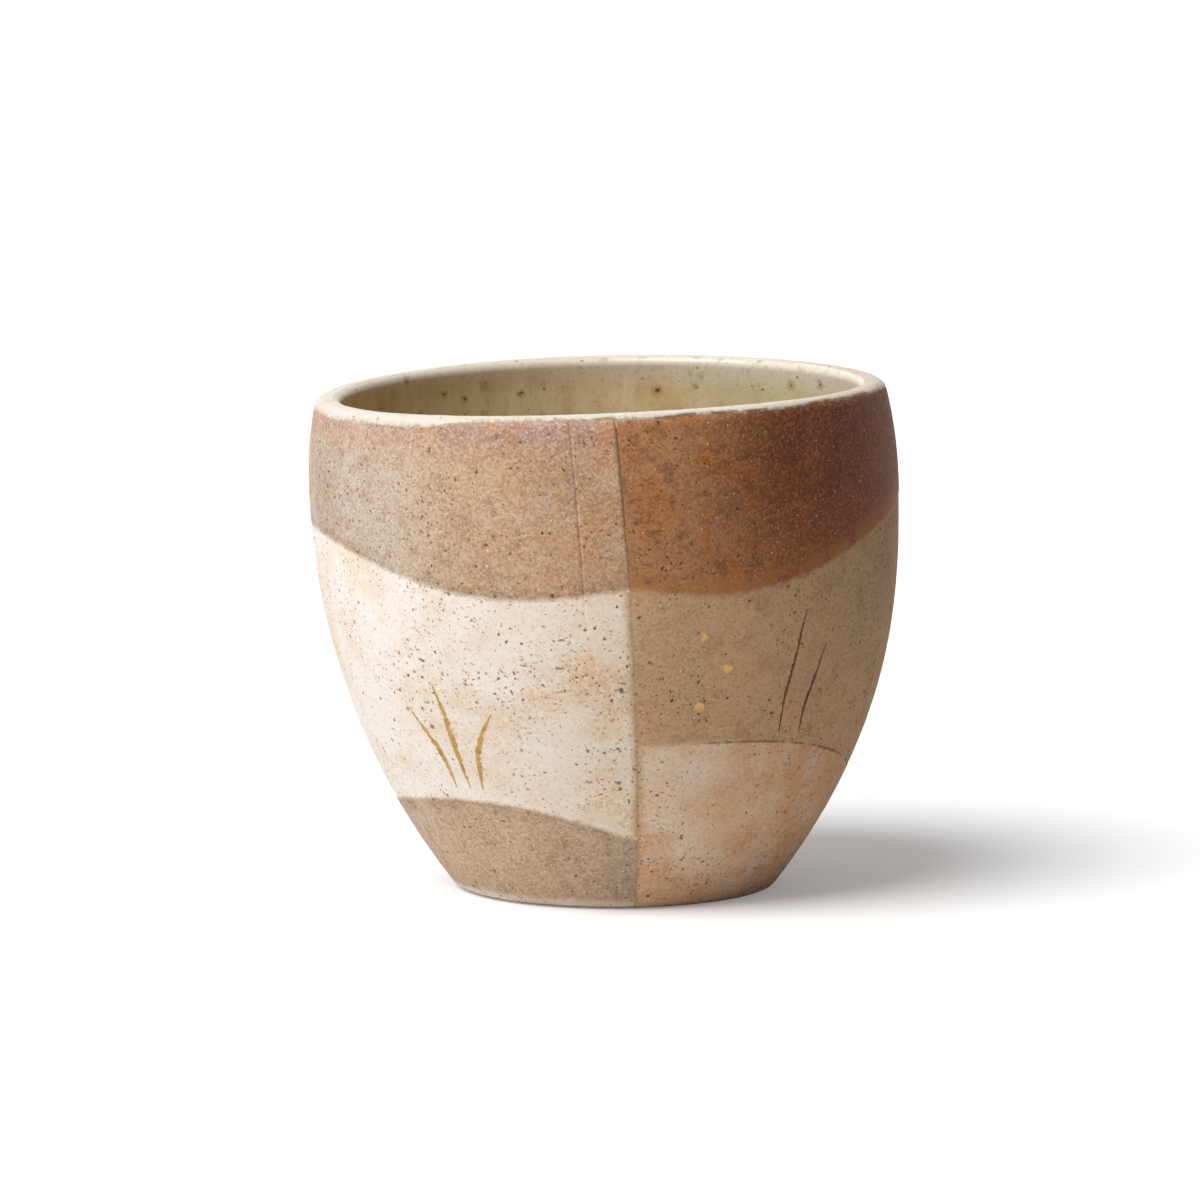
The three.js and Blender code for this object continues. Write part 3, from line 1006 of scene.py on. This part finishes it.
def laid_over(tree, beneath, coat, mask):
    """A thin coat over another finish, where the mask is 1."""
    made = dict(coat)
    made["colour"] = layered(tree, beneath["colour"], [(coat["colour"], mask)])
    for key in ("rough", "height"):
        made[key] = add(tree, "Mix", {0: mask, 2: beneath[key], 3: coat[key]}).outputs[0]
    return made


# %% From finish to material
def surface(name, finish, *pieces, relief):
    """Makes a material of a finish, with its bump relief in millimetres, and puts it on pieces."""
    material = bpy.data.materials.new(name)
    material.use_nodes = True
    tree = material.node_tree
    made = finish(tree, add(tree, "TexCoord").outputs["Object"])
    bump = add(tree, "Bump", {"Height": made["height"], "Distance": relief * MM})
    connect(tree, tree.nodes["Principled BSDF"], {
        "Normal": bump.outputs[0], "Base Color": made["colour"], "Roughness": made["rough"],
        "Metallic": made.get("metal", 0.0), "Specular IOR Level": made["gloss"]})
    for piece in pieces:
        piece.data.materials.clear()
        piece.data.materials.append(material)
    print("finish", name, "nodes:", len(tree.nodes))


# %% [markdown]
# Fired clay is never one colour. Clouds are slow changes of its tone, specks are grains of iron, and a few
# white specks are painted glints, where grains of quartz sparkle. Sand gives each grain a tone of its own. A
# Voronoi texture fits grains, because each cell has a middle and a colour, which serves as a die that says
# whether it holds a grain and how large that is.

# %% Clouds and specks
smallest_grain = 0.45
grain_core = 0.55


def clouds(tree, place, size, low, high, most=1.0, detail=2.0):
    """A soft mask of clouds of a size, from 0 to most."""
    field = add(tree, "TexNoise", {"Vector": place, "Scale": per_metre(size), "Detail": detail})
    return add(tree, "MapRange", {0: field.outputs["Fac"], 1: low, 2: high, 4: most},
               interpolation_type="SMOOTHSTEP").outputs[0]


def specks(tree, place, spacing, size, share, most=1.0):
    """A mask of grains in the clay. A share of the cells holds one, each of its own size up to a radius."""
    cells = add(tree, "TexVoronoi", {"Vector": place, "Scale": per_metre(spacing)})
    chance = add(tree, "SeparateColor", {0: cells.outputs["Color"]})
    held = add(tree, "Math", {0: chance.outputs[0], 1: share}, operation="LESS_THAN")
    widest = size / spacing
    radius = add(tree, "MapRange", {0: chance.outputs[1], 3: smallest_grain * widest, 4: widest})
    core = add(tree, "Math", {0: radius.outputs[0], 1: grain_core}, operation="MULTIPLY")
    grain = add(tree, "MapRange",
                {0: cells.outputs["Distance"], 1: radius.outputs[0], 2: core.outputs[0], 4: most})
    return add(tree, "Math", {0: grain.outputs[0], 1: held.outputs[0]}, operation="MULTIPLY").outputs[0]


# %% Grains and sand
sand_width = 0.34
ragged_size = 0.6
ragged_shift = 0.9


def ragged_place(tree, place):
    """The place shifted by fine noise, so that grains and drags aren't round."""
    shift = add(tree, "TexNoise", {"Vector": place, "Scale": per_metre(ragged_size), "Detail": 2.0})
    move = add(tree, "VectorMath", {0: shift.outputs["Color"], 1: (0.5,) * 3}, operation="SUBTRACT")
    return add(tree, "VectorMath", {0: move.outputs[0], 1: (ragged_shift * MM,) * 3, 2: place},
               operation="MULTIPLY_ADD").outputs[0]


def grains(tree, place, rust, dark, amount):
    """Layers of rust and dark grains of several sizes, and a few white specks as painted glints of the sand,
    in drifts over the clay.
    """
    ragged = ragged_place(tree, place)
    drift = clouds(tree, place, 11, 0.36, 0.6, 1.0, 3)
    return [
        (rust, specks(tree, ragged, 0.75, 0.2, 0.5 * amount, 0.7)),
        (rust, specks(tree, ragged, 0.7, 0.22, 0.95 * amount, 0.85), drift),
        (rust, specks(tree, ragged, 1.2, 0.36, 0.6 * amount, 0.9), drift),
        (dark, specks(tree, ragged, 1.6, 0.32, 0.4 * amount, 0.9)),
        ("#4d4246", specks(tree, ragged, 4.6, 0.7, 0.16 * amount, 0.85)),
        # painted glints: white specks stand for the sparkle of quartz grains in the sand
        ("#fbf5ec", specks(tree, place, 0.95, 0.15, 0.3, 0.9)),
    ]


def sand(tree, place, dark, light, most):
    """Layers of sand a third of a millimetre wide, each grain with its own tone."""
    cells = add(tree, "TexVoronoi", {"Vector": place, "Scale": per_metre(sand_width)})
    tone = add(tree, "SeparateColor", {0: cells.outputs["Color"]}).outputs[0]
    darker = add(tree, "MapRange", {0: tone, 1: 0.5, 2: 1.0, 4: most})
    lighter = add(tree, "MapRange", {0: tone, 1: 0.5, 2: 0.0, 4: most})
    return [(dark, darker.outputs[0]), (light, lighter.outputs[0])]


print("sand has", per_metre(sand_width), "grains to a metre")

# %% [markdown]
# The clay is tan stoneware with sand and iron in it, fired without glaze. Unglazed stoneware is matt, with a
# grain of a third of a millimetre, iron spots that burnt dark, and a few grains of quartz whose sparkle is
# painted as white specks. It turns olive in slow clouds, where the flame touched it.

# %% Tan stoneware, slab-rolled and fired bare
def bare_clay(tree, place):
    """Matt sandy clay: tan, olive in clouds, with sand, iron spots and painted glints of quartz."""
    layers = [
        ("#c4a27b", clouds(tree, place, 26, 0.42, 0.62, 0.6)),
        ("#d6a67f", clouds(tree, place, 8, 0.45, 0.7, 0.6, 3)),
        ("#a9835e", clouds(tree, place, 4, 0.5, 0.75, 0.5, 3)),
    ]
    layers += sand(tree, place, "#8a6848", "#e2c3a2", most=0.32)
    layers += grains(tree, place, "#6a4022", "#35221a", amount=0.75)
    return fired(tree, place, "#d7ad85", layers, rough=0.8, grain=0.45, gloss=0.2)


surface("bare_stoneware", bare_clay, clay_wall, floor_disc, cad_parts["base_coil"], relief=0.06)

# %% [markdown]
# Slurry is clay let down with water. It fires a shade darker than the slab, because the fine iron stays in
# it, and it has no sand, so fine clouds are enough.

# %% Slurry, pressed into the joints
def dried_slurry(tree, place):
    """Matt dark clay with a fine grain."""
    layers = [
        ("#6b4d34", clouds(tree, place, 0.6, 0.45, 0.7, 0.6, 3)),
        ("#94704f", clouds(tree, place, 4, 0.4, 0.7, 0.5)),
    ]
    return fired(tree, place, "#8d6a4a", layers, rough=0.85, grain=0.4)


surface("joint_slurry", dried_slurry, slurry_line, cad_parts["base_slurry"], relief=0.04)

# %% [markdown]
# A slip covers where its kept distance from the edge is large, and breaks up into grains where it thins
# out. Other changes follow the cup itself, across its front or up its wall.

# %% Where a slip covers
thin_grain = 1.6
thin_width = 1.1


def edge_distance(tree):
    """Millimetres from a coat's edge, as kept on its points."""
    return add(tree, "Attribute", attribute_name="edge_mm").outputs["Fac"]


def near_edge(tree, far, near, fade="SMOOTHSTEP"):
    """A mask along a coat's edge, from 0 at the far distance to 1 at the near one."""
    return add(tree, "MapRange", {0: edge_distance(tree), 1: far, 2: near},
               interpolation_type=fade).outputs[0]


def soft_mask(tree, place, ragged=1.1, most=1.0):
    """Where a coat covers: from the distance to its edge, made grainy."""
    field = add(tree, "TexNoise", {"Vector": place, "Scale": per_metre(thin_grain), "Detail": 4.0,
                                   "Roughness": 0.7})
    shift = add(tree, "Math", {0: field.outputs["Fac"], 1: ragged, 2: edge_distance(tree)},
                operation="MULTIPLY_ADD")
    start = soft_edge + ragged / 2 - thin_width / 2
    return add(tree, "MapRange", {0: shift.outputs[0], 1: start, 2: start + thin_width, 4: most},
               interpolation_type="SMOOTHSTEP").outputs[0]


def along_cup(tree, place, axis, start, end, most=1.0):
    """0 to most between two places along an axis of the cup, in millimetres."""
    axes = add(tree, "SeparateXYZ", {0: place})
    return add(tree, "MapRange", {0: axes.outputs[axis], 1: start * MM, 2: end * MM, 4: most},
               interpolation_type="SMOOTHSTEP").outputs[0]


print("a slip thins out over about", thin_width, "mm")

# %% [markdown]
# The cream slip is pale and matt. It flushes beige to orange towards the seam, where the flame passed, and
# is scattered with rust specks and short grey drags, where the rib pulled grains along the wall. The drags
# are specks on a place that is squeezed sideways, which draws them out.

# %% Cream slip, dipped and ribbed
def drags(tree, place, amount):
    """Short level drags of blue-grey grains, where the rib pulled them along the wall."""
    ragged = ragged_place(tree, place)
    pulled = add(tree, "Mapping", {"Vector": ragged, "Scale": (0.34, 0.34, 1.1)}).outputs[0]
    held = clouds(tree, place, 11, 0.42, 0.6)
    return [
        ("#6f7076", specks(tree, pulled, 1.7, 0.34, 0.4 * amount, 0.9), held),
        ("#8a5c3a", specks(tree, pulled, 1.1, 0.2, 0.3 * amount, 0.8), held),
    ]


def cream_finish(tree, place):
    """Matt cream, flushed towards the seam, with rust specks and grey drags."""
    near_seam = along_cup(tree, place, "X", -34, 8)
    patches = clouds(tree, place, 10, 0.4, 0.66, 1.0, 4)
    porous = clouds(tree, place, 0.8, 0.3, 0.7, 1.0, 3)
    streaked = add(tree, "Mapping", {"Vector": place, "Rotation": (0, 0.5, 0),
                                     "Scale": (0.2, 0.5, 1.0)}).outputs[0]
    layers = [
        ("#f8e2c8", near_seam),
        ("#e9cfab", patches, clouds(tree, place, 20, 0.4, 0.65, 0.6)),
        ("#e3b07c", near_seam, patches, porous),
        ("#f8f2e8", clouds(tree, streaked, 2.0, 0.5, 0.72, 0.5)),
    ]
    layers += sand(tree, place, "#d9bd9c", "#fdf9f2", most=0.24)
    layers += grains(tree, place, "#92501f", "#63361c", amount=1.2)
    layers += drags(tree, place, amount=1.0)
    return fired(tree, place, "#f5ede5", layers, rough=0.75, grain=0.6, gloss=0.2)


def cream_over_clay(tree, place):
    """Cream slip that thins out over bare clay."""
    return laid_over(tree, bare_clay(tree, place), cream_finish(tree, place), soft_mask(tree, place))


surface("cream_slip_matt", cream_over_clay, cream, relief=0.04)

# %% [markdown]
# The brown slip is clay of the cup's own body with more sand and iron, so it is grey-brown and gritty like
# fine sandpaper. Under the lip it turned pink, with flecks of the lip's glaze, and near the seam it is
# warmer. Below its foot line the cream shows.

# %% Brown slip, poured and sandy
def brown_finish(tree, place):
    """Gritty grey-brown slip, pink under the lip, warm near the seam and darker along its edge."""
    flecks = specks(tree, ragged_place(tree, place), 0.9, 0.3, 0.5, 0.7)
    layers = [
        ("#c9b9a9", along_cup(tree, place, "X", -20, -40)),
        ("#c89870", along_cup(tree, place, "X", -34, 0), along_cup(tree, place, "Z", 24, 48)),
        ("#ad8f76", clouds(tree, place, 10, 0.42, 0.66, 0.55, 3)),
        ("#d4b99e", clouds(tree, place, 5, 0.46, 0.68, 0.4, 3)),
        ("#a98a70", clouds(tree, place, 2.4, 0.5, 0.7, 0.5, 3)),
        ("#9c7d62", near_edge(tree, far=3.4, near=1.4), clouds(tree, place, 5, 0.3, 0.6, 0.5)),
        ("#c48868", along_cup(tree, place, "Z", 66.5, 74.5), clouds(tree, place, 4, 0.2, 0.65, 0.6, 3)),
        ("#a78c85", along_cup(tree, place, "Z", 69, 74), clouds(tree, place, 5, 0.42, 0.62, 0.6, 3)),
    ]
    layers += sand(tree, place, "#86674f", "#e8d6c2", most=0.34)
    layers += grains(tree, place, "#6f442e", "#3a2822", amount=0.75)
    layers.append(("#e9ddd0", flecks, along_cup(tree, place, "Z", 72.6, 75.0)))
    return fired(tree, place, "#c8ab8d", layers, rough=0.82, grain=0.42, gloss=0.2)


def brown_over_cream(tree, place):
    """Brown slip that thins out over cream at its edge, and leaves a pale strip at the foot."""
    ragged_foot = clouds(tree, place, 3, 0.2, 0.45)
    off_table = add(tree, "Math", {0: along_cup(tree, place, "Z", 1.2, 2.6), 1: ragged_foot},
                    operation="MAXIMUM").outputs[0]
    mask = soft_mask(tree, place, most=along_cup(tree, place, "Z", 0.6, 2.0, off_table))
    return laid_over(tree, cream_finish(tree, place), brown_finish(tree, place), mask)


surface("brown_slip_sandy", brown_over_cream, brown_rim, brown_foot, relief=0.08)

# %% [markdown]
# The rust slip is rich in iron. It is mottled from orange-brown beside the seam to purple-brown on the
# right, a little smoother than the clay, and leaves an orange halo where it thins out.

# %% Rust slip, iron-rich and mottled
def rust_over_clay(tree, place):
    """Mottled iron slip over clay, darker to the right and towards the lip, with bright sand, painted glints
    on it and a halo.
    """
    ragged = ragged_place(tree, place)
    to_right = along_cup(tree, place, "X", 8, 32)
    high = along_cup(tree, place, "Z", 52, 70)
    layers = [
        ("#8f5331", to_right),
        ("#b86f38", clouds(tree, place, 6, 0.48, 0.68, 0.7, 3)),
        ("#6c3823", to_right, high, clouds(tree, place, 11, 0.25, 0.5, 1.0, 3)),
        ("#6a3d27", clouds(tree, ragged, 2.2, 0.5, 0.7, 0.5, 3)),
    ]
    layers += sand(tree, place, "#4a2818", "#d39a6c", most=0.32)
    # painted glints: pale specks stand for the sparkle of the sand in the slip
    layers.append(("#e6cdb6", specks(tree, place, 0.7, 0.16, 0.4, 0.75)))
    layers += grains(tree, place, "#472616", "#291812", amount=0.8)
    layers.append(("#bb7a48", near_edge(tree, far=5.0, near=1.2), clouds(tree, place, 4, 0.3, 0.6, 0.7)))
    rust = fired(tree, place, "#b48058", layers, rough=0.65, grain=0.42, gloss=0.2)
    return laid_over(tree, bare_clay(tree, place), rust, soft_mask(tree, place, ragged=1.3))


surface("rust_slip_satin", rust_over_clay, rust_rim, relief=0.07)

# %% [markdown]
# The peach slip is pinkish with a pale veil. Rust specks and short blue-grey drags lie in it, and iron
# gathered in a thin broken line along its upper edge.

# %% Peach slip, thin and veiled
line_inside = 0.1
line_reach = 0.3
line_core = 0.05


def peach_over_clay(tree, place):
    """Pinkish slip with a pale veil, rust specks, grey drags and a dark line, thinning out over the clay."""
    layers = [
        ("#f3dcc4", clouds(tree, place, 13, 0.4, 0.62, 0.7, 4)),
        ("#e9bb90", along_cup(tree, place, "X", 10, 32)),
        ("#dda06c", clouds(tree, place, 9, 0.4, 0.64, 1.0, 4), clouds(tree, place, 1.4, 0.2, 0.6, 0.9, 3)),
        ("#e8bf99", along_cup(tree, place, "Z", 10, 1, 0.5)),
        ("#efdcc8", clouds(tree, place, 4, 0.5, 0.76, 0.5, 3)),
    ]
    layers += sand(tree, place, "#b08766", "#f4e6d7", most=0.24)
    layers += grains(tree, place, "#84491f", "#402820", amount=0.85)
    layers += drags(tree, place, amount=1.2)
    peach = fired(tree, place, "#eec8a3", layers, rough=0.78, grain=0.55, gloss=0.2)
    made = laid_over(tree, bare_clay(tree, place), peach, soft_mask(tree, place, ragged=0.5))
    near = add(tree, "Math", {0: edge_distance(tree), 1: soft_edge + line_inside}, operation="SUBTRACT")
    off_line = add(tree, "Math", {0: near.outputs[0]}, operation="ABSOLUTE")
    line = add(tree, "MapRange", {0: off_line.outputs[0], 1: line_reach, 2: line_core}).outputs[0]
    broken = clouds(tree, place, 2.5, 0.3, 0.55, 0.8)
    on_right = along_cup(tree, place, "X", 9, 16)
    made["colour"] = layered(tree, made["colour"], [("#6e4b33", line, broken, on_right)])
    return made


surface("peach_slip_matt", peach_over_clay, peach_foot, relief=0.05)

# %% [markdown]
# The glaze in the bowl is a satin ash glaze. It is olive with a grey-green bloom near the lip on the right,
# and iron from the clay came up through it in brown spots with soft halos.

# %% Olive ash glaze, poured in the bowl
def olive_finish(tree, place):
    """Satin olive glaze with iron spots, halos and faint runs, paler where it thins out at the lip."""
    ragged = ragged_place(tree, place)
    runs = add(tree, "Mapping", {"Vector": place, "Scale": (1.0, 1.0, 0.14)}).outputs[0]
    on_right = along_cup(tree, place, "X", 2, 26)
    layers = [
        ("#b99a6b", clouds(tree, place, 18, 0.4, 0.65, 0.6)),
        ("#d5bf97", clouds(tree, place, 6, 0.45, 0.7, 0.5, 3)),
        ("#ddceac", clouds(tree, runs, 2.2, 0.45, 0.75, 0.5, 3)),
        ("#a3854f", clouds(tree, runs, 3.4, 0.5, 0.75, 0.45, 3)),
        ("#b9b28c", on_right, along_cup(tree, place, "Z", 54, 70), clouds(tree, place, 12, 0.25, 0.55, 0.8)),
        ("#e0d8ca", along_cup(tree, place, "Z", 71.0, 75.5, 0.8)),
        ("#a07a42", specks(tree, ragged, 3.0, 1.4, 0.5, 0.5)),
        ("#5c3a18", specks(tree, ragged, 3.0, 0.62, 0.5, 0.9)),
        ("#6b4a29", specks(tree, ragged, 1.4, 0.28, 0.45, 0.85)),
        ("#8f7a4e", clouds(tree, place, 0.7, 0.5, 0.75, 0.3)),
    ]
    return fired(tree, place, "#cdb88f", layers, rough=0.34, grain=1.2, gloss=0.5)


surface("olive_ash_glaze", olive_finish, bowl_glaze, relief=0.03)

# %% [markdown]
# On the lip the glaze is thin and pale, and the clay warms it in places. Its lower edge is ochre, and on the
# right a broken brown line runs along it, where the glaze drew iron out of the slip.

# %% Pale glaze, wiped over the lip
def lip_finish(tree, place):
    """Pale satin glaze with specks, an ochre edge, a broken brown line, and painted shade towards the right.
    """
    ragged = ragged_place(tree, place)
    on_right = along_cup(tree, place, "X", -30, 20)
    layers = [
        # painted shade: the glaze turns greyer and darker towards the right, the side away from the key light
        ("#beae9d", along_cup(tree, place, "X", 14, 42)),
        ("#d0bb9d", clouds(tree, place, 4, 0.45, 0.7, 0.5, 3)),
        ("#b39a72", near_edge(tree, far=1.1, near=0.35), clouds(tree, ragged, 0.9, 0.42, 0.6, 0.8, 3)),
        ("#e6ded2", clouds(tree, place, 2.4, 0.5, 0.8, 0.4, 3)),
        ("#6b482e", specks(tree, ragged, 1.3, 0.36, 0.4, 0.85)),
        ("#7d5230", near_edge(tree, far=0.65, near=0.3, fade="LINEAR"), on_right,
         clouds(tree, place, 2.2, 0.4, 0.55, 0.85, 3)),
    ]
    return fired(tree, place, "#d8d0c5", layers, rough=0.45, grain=0.7, gloss=0.4)


surface("pale_lip_glaze", lip_finish, lip_bead, relief=0.04)

# %% [markdown]
# Iron oxide in water is brushed on like ink. It is matt and dark brown, and breaks over the sand of the
# clay. So its cover is the kept distance from the stroke's side, worn by streaks of the brush and by grit.

# %% Iron oxide, brushed
streak_width = 0.7
streak_pull = 0.25
worn_grit = 0.4
cover_from = 0.1
cover_full = 0.4


def worn_cover(tree, place, ragged):
    """Where a thin brush film covers: broken along its sides, by dry streaks and over the grain."""
    across = add(tree, "Attribute", attribute_name="across").outputs["Fac"]
    upright = add(tree, "Mapping", {"Vector": place, "Scale": (1.0, 1.0, streak_pull)}).outputs[0]
    streaks = add(tree, "TexNoise", {"Vector": upright, "Scale": per_metre(streak_width), "Detail": 2.0})
    over_grit = add(tree, "TexNoise", {"Vector": place, "Scale": per_metre(worn_grit), "Detail": 2.0})
    broken = add(tree, "Math", {0: streaks.outputs["Fac"], 1: over_grit.outputs["Fac"]}, operation="ADD")
    shift = add(tree, "Math", {0: broken.outputs[0], 1: ragged, 2: across}, operation="MULTIPLY_ADD")
    return add(tree, "MapRange", {0: shift.outputs[0], 1: ragged + cover_from, 2: ragged + cover_full},
               interpolation_type="SMOOTHSTEP").outputs[0]


def iron_on_clay(tree, place):
    """Matt iron brushwork over bare clay."""
    layers = [
        ("#4c3122", clouds(tree, place, 2.5, 0.4, 0.7, 0.7)),
        ("#8c6545", clouds(tree, place, 0.5, 0.5, 0.72, 0.5, 3)),
    ]
    iron = fired(tree, place, "#6d4a32", layers, rough=0.7, grain=0.45)
    return laid_over(tree, bare_clay(tree, place), iron, worn_cover(tree, place, ragged=1.3))


surface("iron_oxide_wash", iron_on_clay, *iron_reeds, relief=0.05)

# %% [markdown]
# Gold lustre is a film of metal fired on at low heat. On rough clay it stays dull, and the grain shows
# through where it wore. So the metal is broken by noise, and the slip or the clay below shows in the gaps.

# %% Gold lustre, brushed and worn
def gold_over(beneath):
    """A finish of worn gold over another finish."""
    def finish(tree, place):
        cover = worn_cover(tree, place, ragged=1.5)
        layers = [
            ("#8f6f3f", clouds(tree, place, 1.6, 0.4, 0.7, 0.6)),
            ("#5c4026", clouds(tree, place, 0.5, 0.52, 0.72, 0.6, 3)),
        ]
        gold = fired(tree, place, "#b8955a", layers, rough=0.42, grain=0.45)
        made = laid_over(tree, beneath(tree, place), gold, cover)
        made["metal"] = cover
        return made
    return finish


surface("gold_lustre_on_slip", gold_over(cream_finish), *gold_blades, relief=0.04)
surface("gold_lustre_on_clay", gold_over(bare_clay), *gold_dots, relief=0.04)

# %% [markdown]
# ## Studio
# The cup stands on a wide white sweep. The floor is brighter for the camera than for the cup, so the
# background is white without more light on the clay, and it keeps the cup's soft shadow. Light Path tells
# the two apart. For the cup the floor is paler near the foot and on the lit side, and dull further out.

# %% Floor
sweep_size = 14
sweep_drop = 0.05
paper_lift = 0.24
floor_far = 0.45
floor_near = 0.12
floor_least = 0.1
lit_from = 0.12
lit_to = -0.08
lit_least = 0.5
lit_most = 0.82


def seen_by_eye(tree):
    """1 for rays from the camera or a reflection, and 0 for light on its way to the cup."""
    rays = add(tree, "LightPath").outputs
    seen = rays["Is Camera Ray"]
    for kind in ("Is Glossy Ray", "Is Transmission Ray"):
        seen = add(tree, "Math", {0: seen, 1: rays[kind]}, operation="MAXIMUM").outputs[0]
    return seen


sweep = started("white_sweep", bpy.ops.mesh.primitive_plane_add, size=sweep_size,
                location=(0, 0, -sweep_drop * MM))
sweep_paper = bpy.data.materials.new("white_sweep_paper")
sweep_paper.use_nodes = True
tree = sweep_paper.node_tree
tree.nodes.clear()
paper = add(tree, "BsdfDiffuse", {"Color": linear("#e8e8e8")})
lift = add(tree, "Emission", {"Color": linear("#ffffff"), "Strength": paper_lift})
bright = add(tree, "AddShader", {0: paper.outputs[0], 1: lift.outputs[0]})
spot = add(tree, "TexCoord").outputs["Object"]
reach = add(tree, "VectorMath", {0: spot}, operation="LENGTH")
near = add(tree, "MapRange", {0: reach.outputs["Value"], 1: floor_far, 2: floor_near, 3: floor_least},
           interpolation_type="SMOOTHSTEP")
along = add(tree, "SeparateXYZ", {0: spot})
lit_side = add(tree, "MapRange",
               {0: along.outputs["X"], 1: lit_from, 2: lit_to, 3: lit_least, 4: lit_most})
paler = add(tree, "Math", {0: near.outputs[0], 1: lit_side.outputs[0]}, operation="MULTIPLY")
dull = add(tree, "BsdfDiffuse", {"Color": paler.outputs[0]})
shown = add(tree, "MixShader", {0: seen_by_eye(tree), 1: dull.outputs[0], 2: bright.outputs[0]})
add(tree, "OutputMaterial", {0: shown.outputs[0]})
sweep.data.materials.append(sweep_paper)
print("sweep of", sweep_size, "m, nodes:", len(tree.nodes))

# %% [markdown]
# One large soft light stands high at the front left, and the white room fills the shadows, more from the
# left and from behind. A sun with a wide angle is better than an area light here, because it lights the foot
# as strongly as the lip.

# %% Light
fill_right = 0.02
fill_left = 0.42
fill_behind = 0.22
side_from = 0.6
side_to = -0.8
behind_to = 0.9
key_height = math.radians(55.0)
key_round = math.radians(38.0)
key_energy = 3.56
key_width = math.radians(46)

room = bpy.data.worlds.new("white_room")
bpy.context.scene.world = room
room.use_nodes = True
tree = room.node_tree
tree.nodes.clear()
facing = add(tree, "SeparateXYZ", {0: add(tree, "TexCoord").outputs["Generated"]})
side = add(tree, "MapRange",
           {0: facing.outputs["X"], 1: side_from, 2: side_to, 3: fill_right, 4: fill_left})
behind = add(tree, "MapRange", {0: facing.outputs["Y"], 1: 0.0, 2: behind_to, 4: fill_behind})
sides = add(tree, "Math", {0: side.outputs[0], 1: behind.outputs[0]}, operation="ADD")
fill = add(tree, "MapRange", {0: seen_by_eye(tree), 3: sides.outputs[0], 4: 1.0})
glow = add(tree, "Background", {"Color": linear("#ffffff"), "Strength": fill.outputs[0]})
add(tree, "OutputWorld", {0: glow.outputs[0]})

key_from = Vector((-math.cos(key_round) * math.cos(key_height), -math.sin(key_round) * math.cos(key_height),
                   math.sin(key_height)))
key = started("key_light", bpy.ops.object.light_add, type="SUN", location=key_from)
key.data.energy = key_energy
key.data.angle = key_width
key.rotation_euler = key_from.to_track_quat("Z", "Y").to_euler()
print("key light comes from", tuple(round(part, 2) for part in key_from))

# %% [markdown]
# The camera looks at the seam side from a little above the lip, through a long lens, as product photographs
# do, because a short lens would swell the belly.

# %% Camera
camera_distance = 1341.0
camera_tilt = math.radians(7.6)
camera_lens = 265.6
sensor_width = 36
aim = Vector((-2.3, 0.0, 43.4)) * MM
towards_camera = Vector((0, -math.cos(camera_tilt), math.sin(camera_tilt)))
camera = started("photo_camera", bpy.ops.object.camera_add,
                 location=aim + towards_camera * camera_distance * MM)
camera.data.sensor_width = sensor_width
camera.data.lens = camera_lens
camera.rotation_euler = (math.pi / 2 - camera_tilt, 0, 0)
bpy.context.scene.camera = camera
bpy.context.scene.view_settings.view_transform = "Standard"
print("camera at", tuple(camera.location))
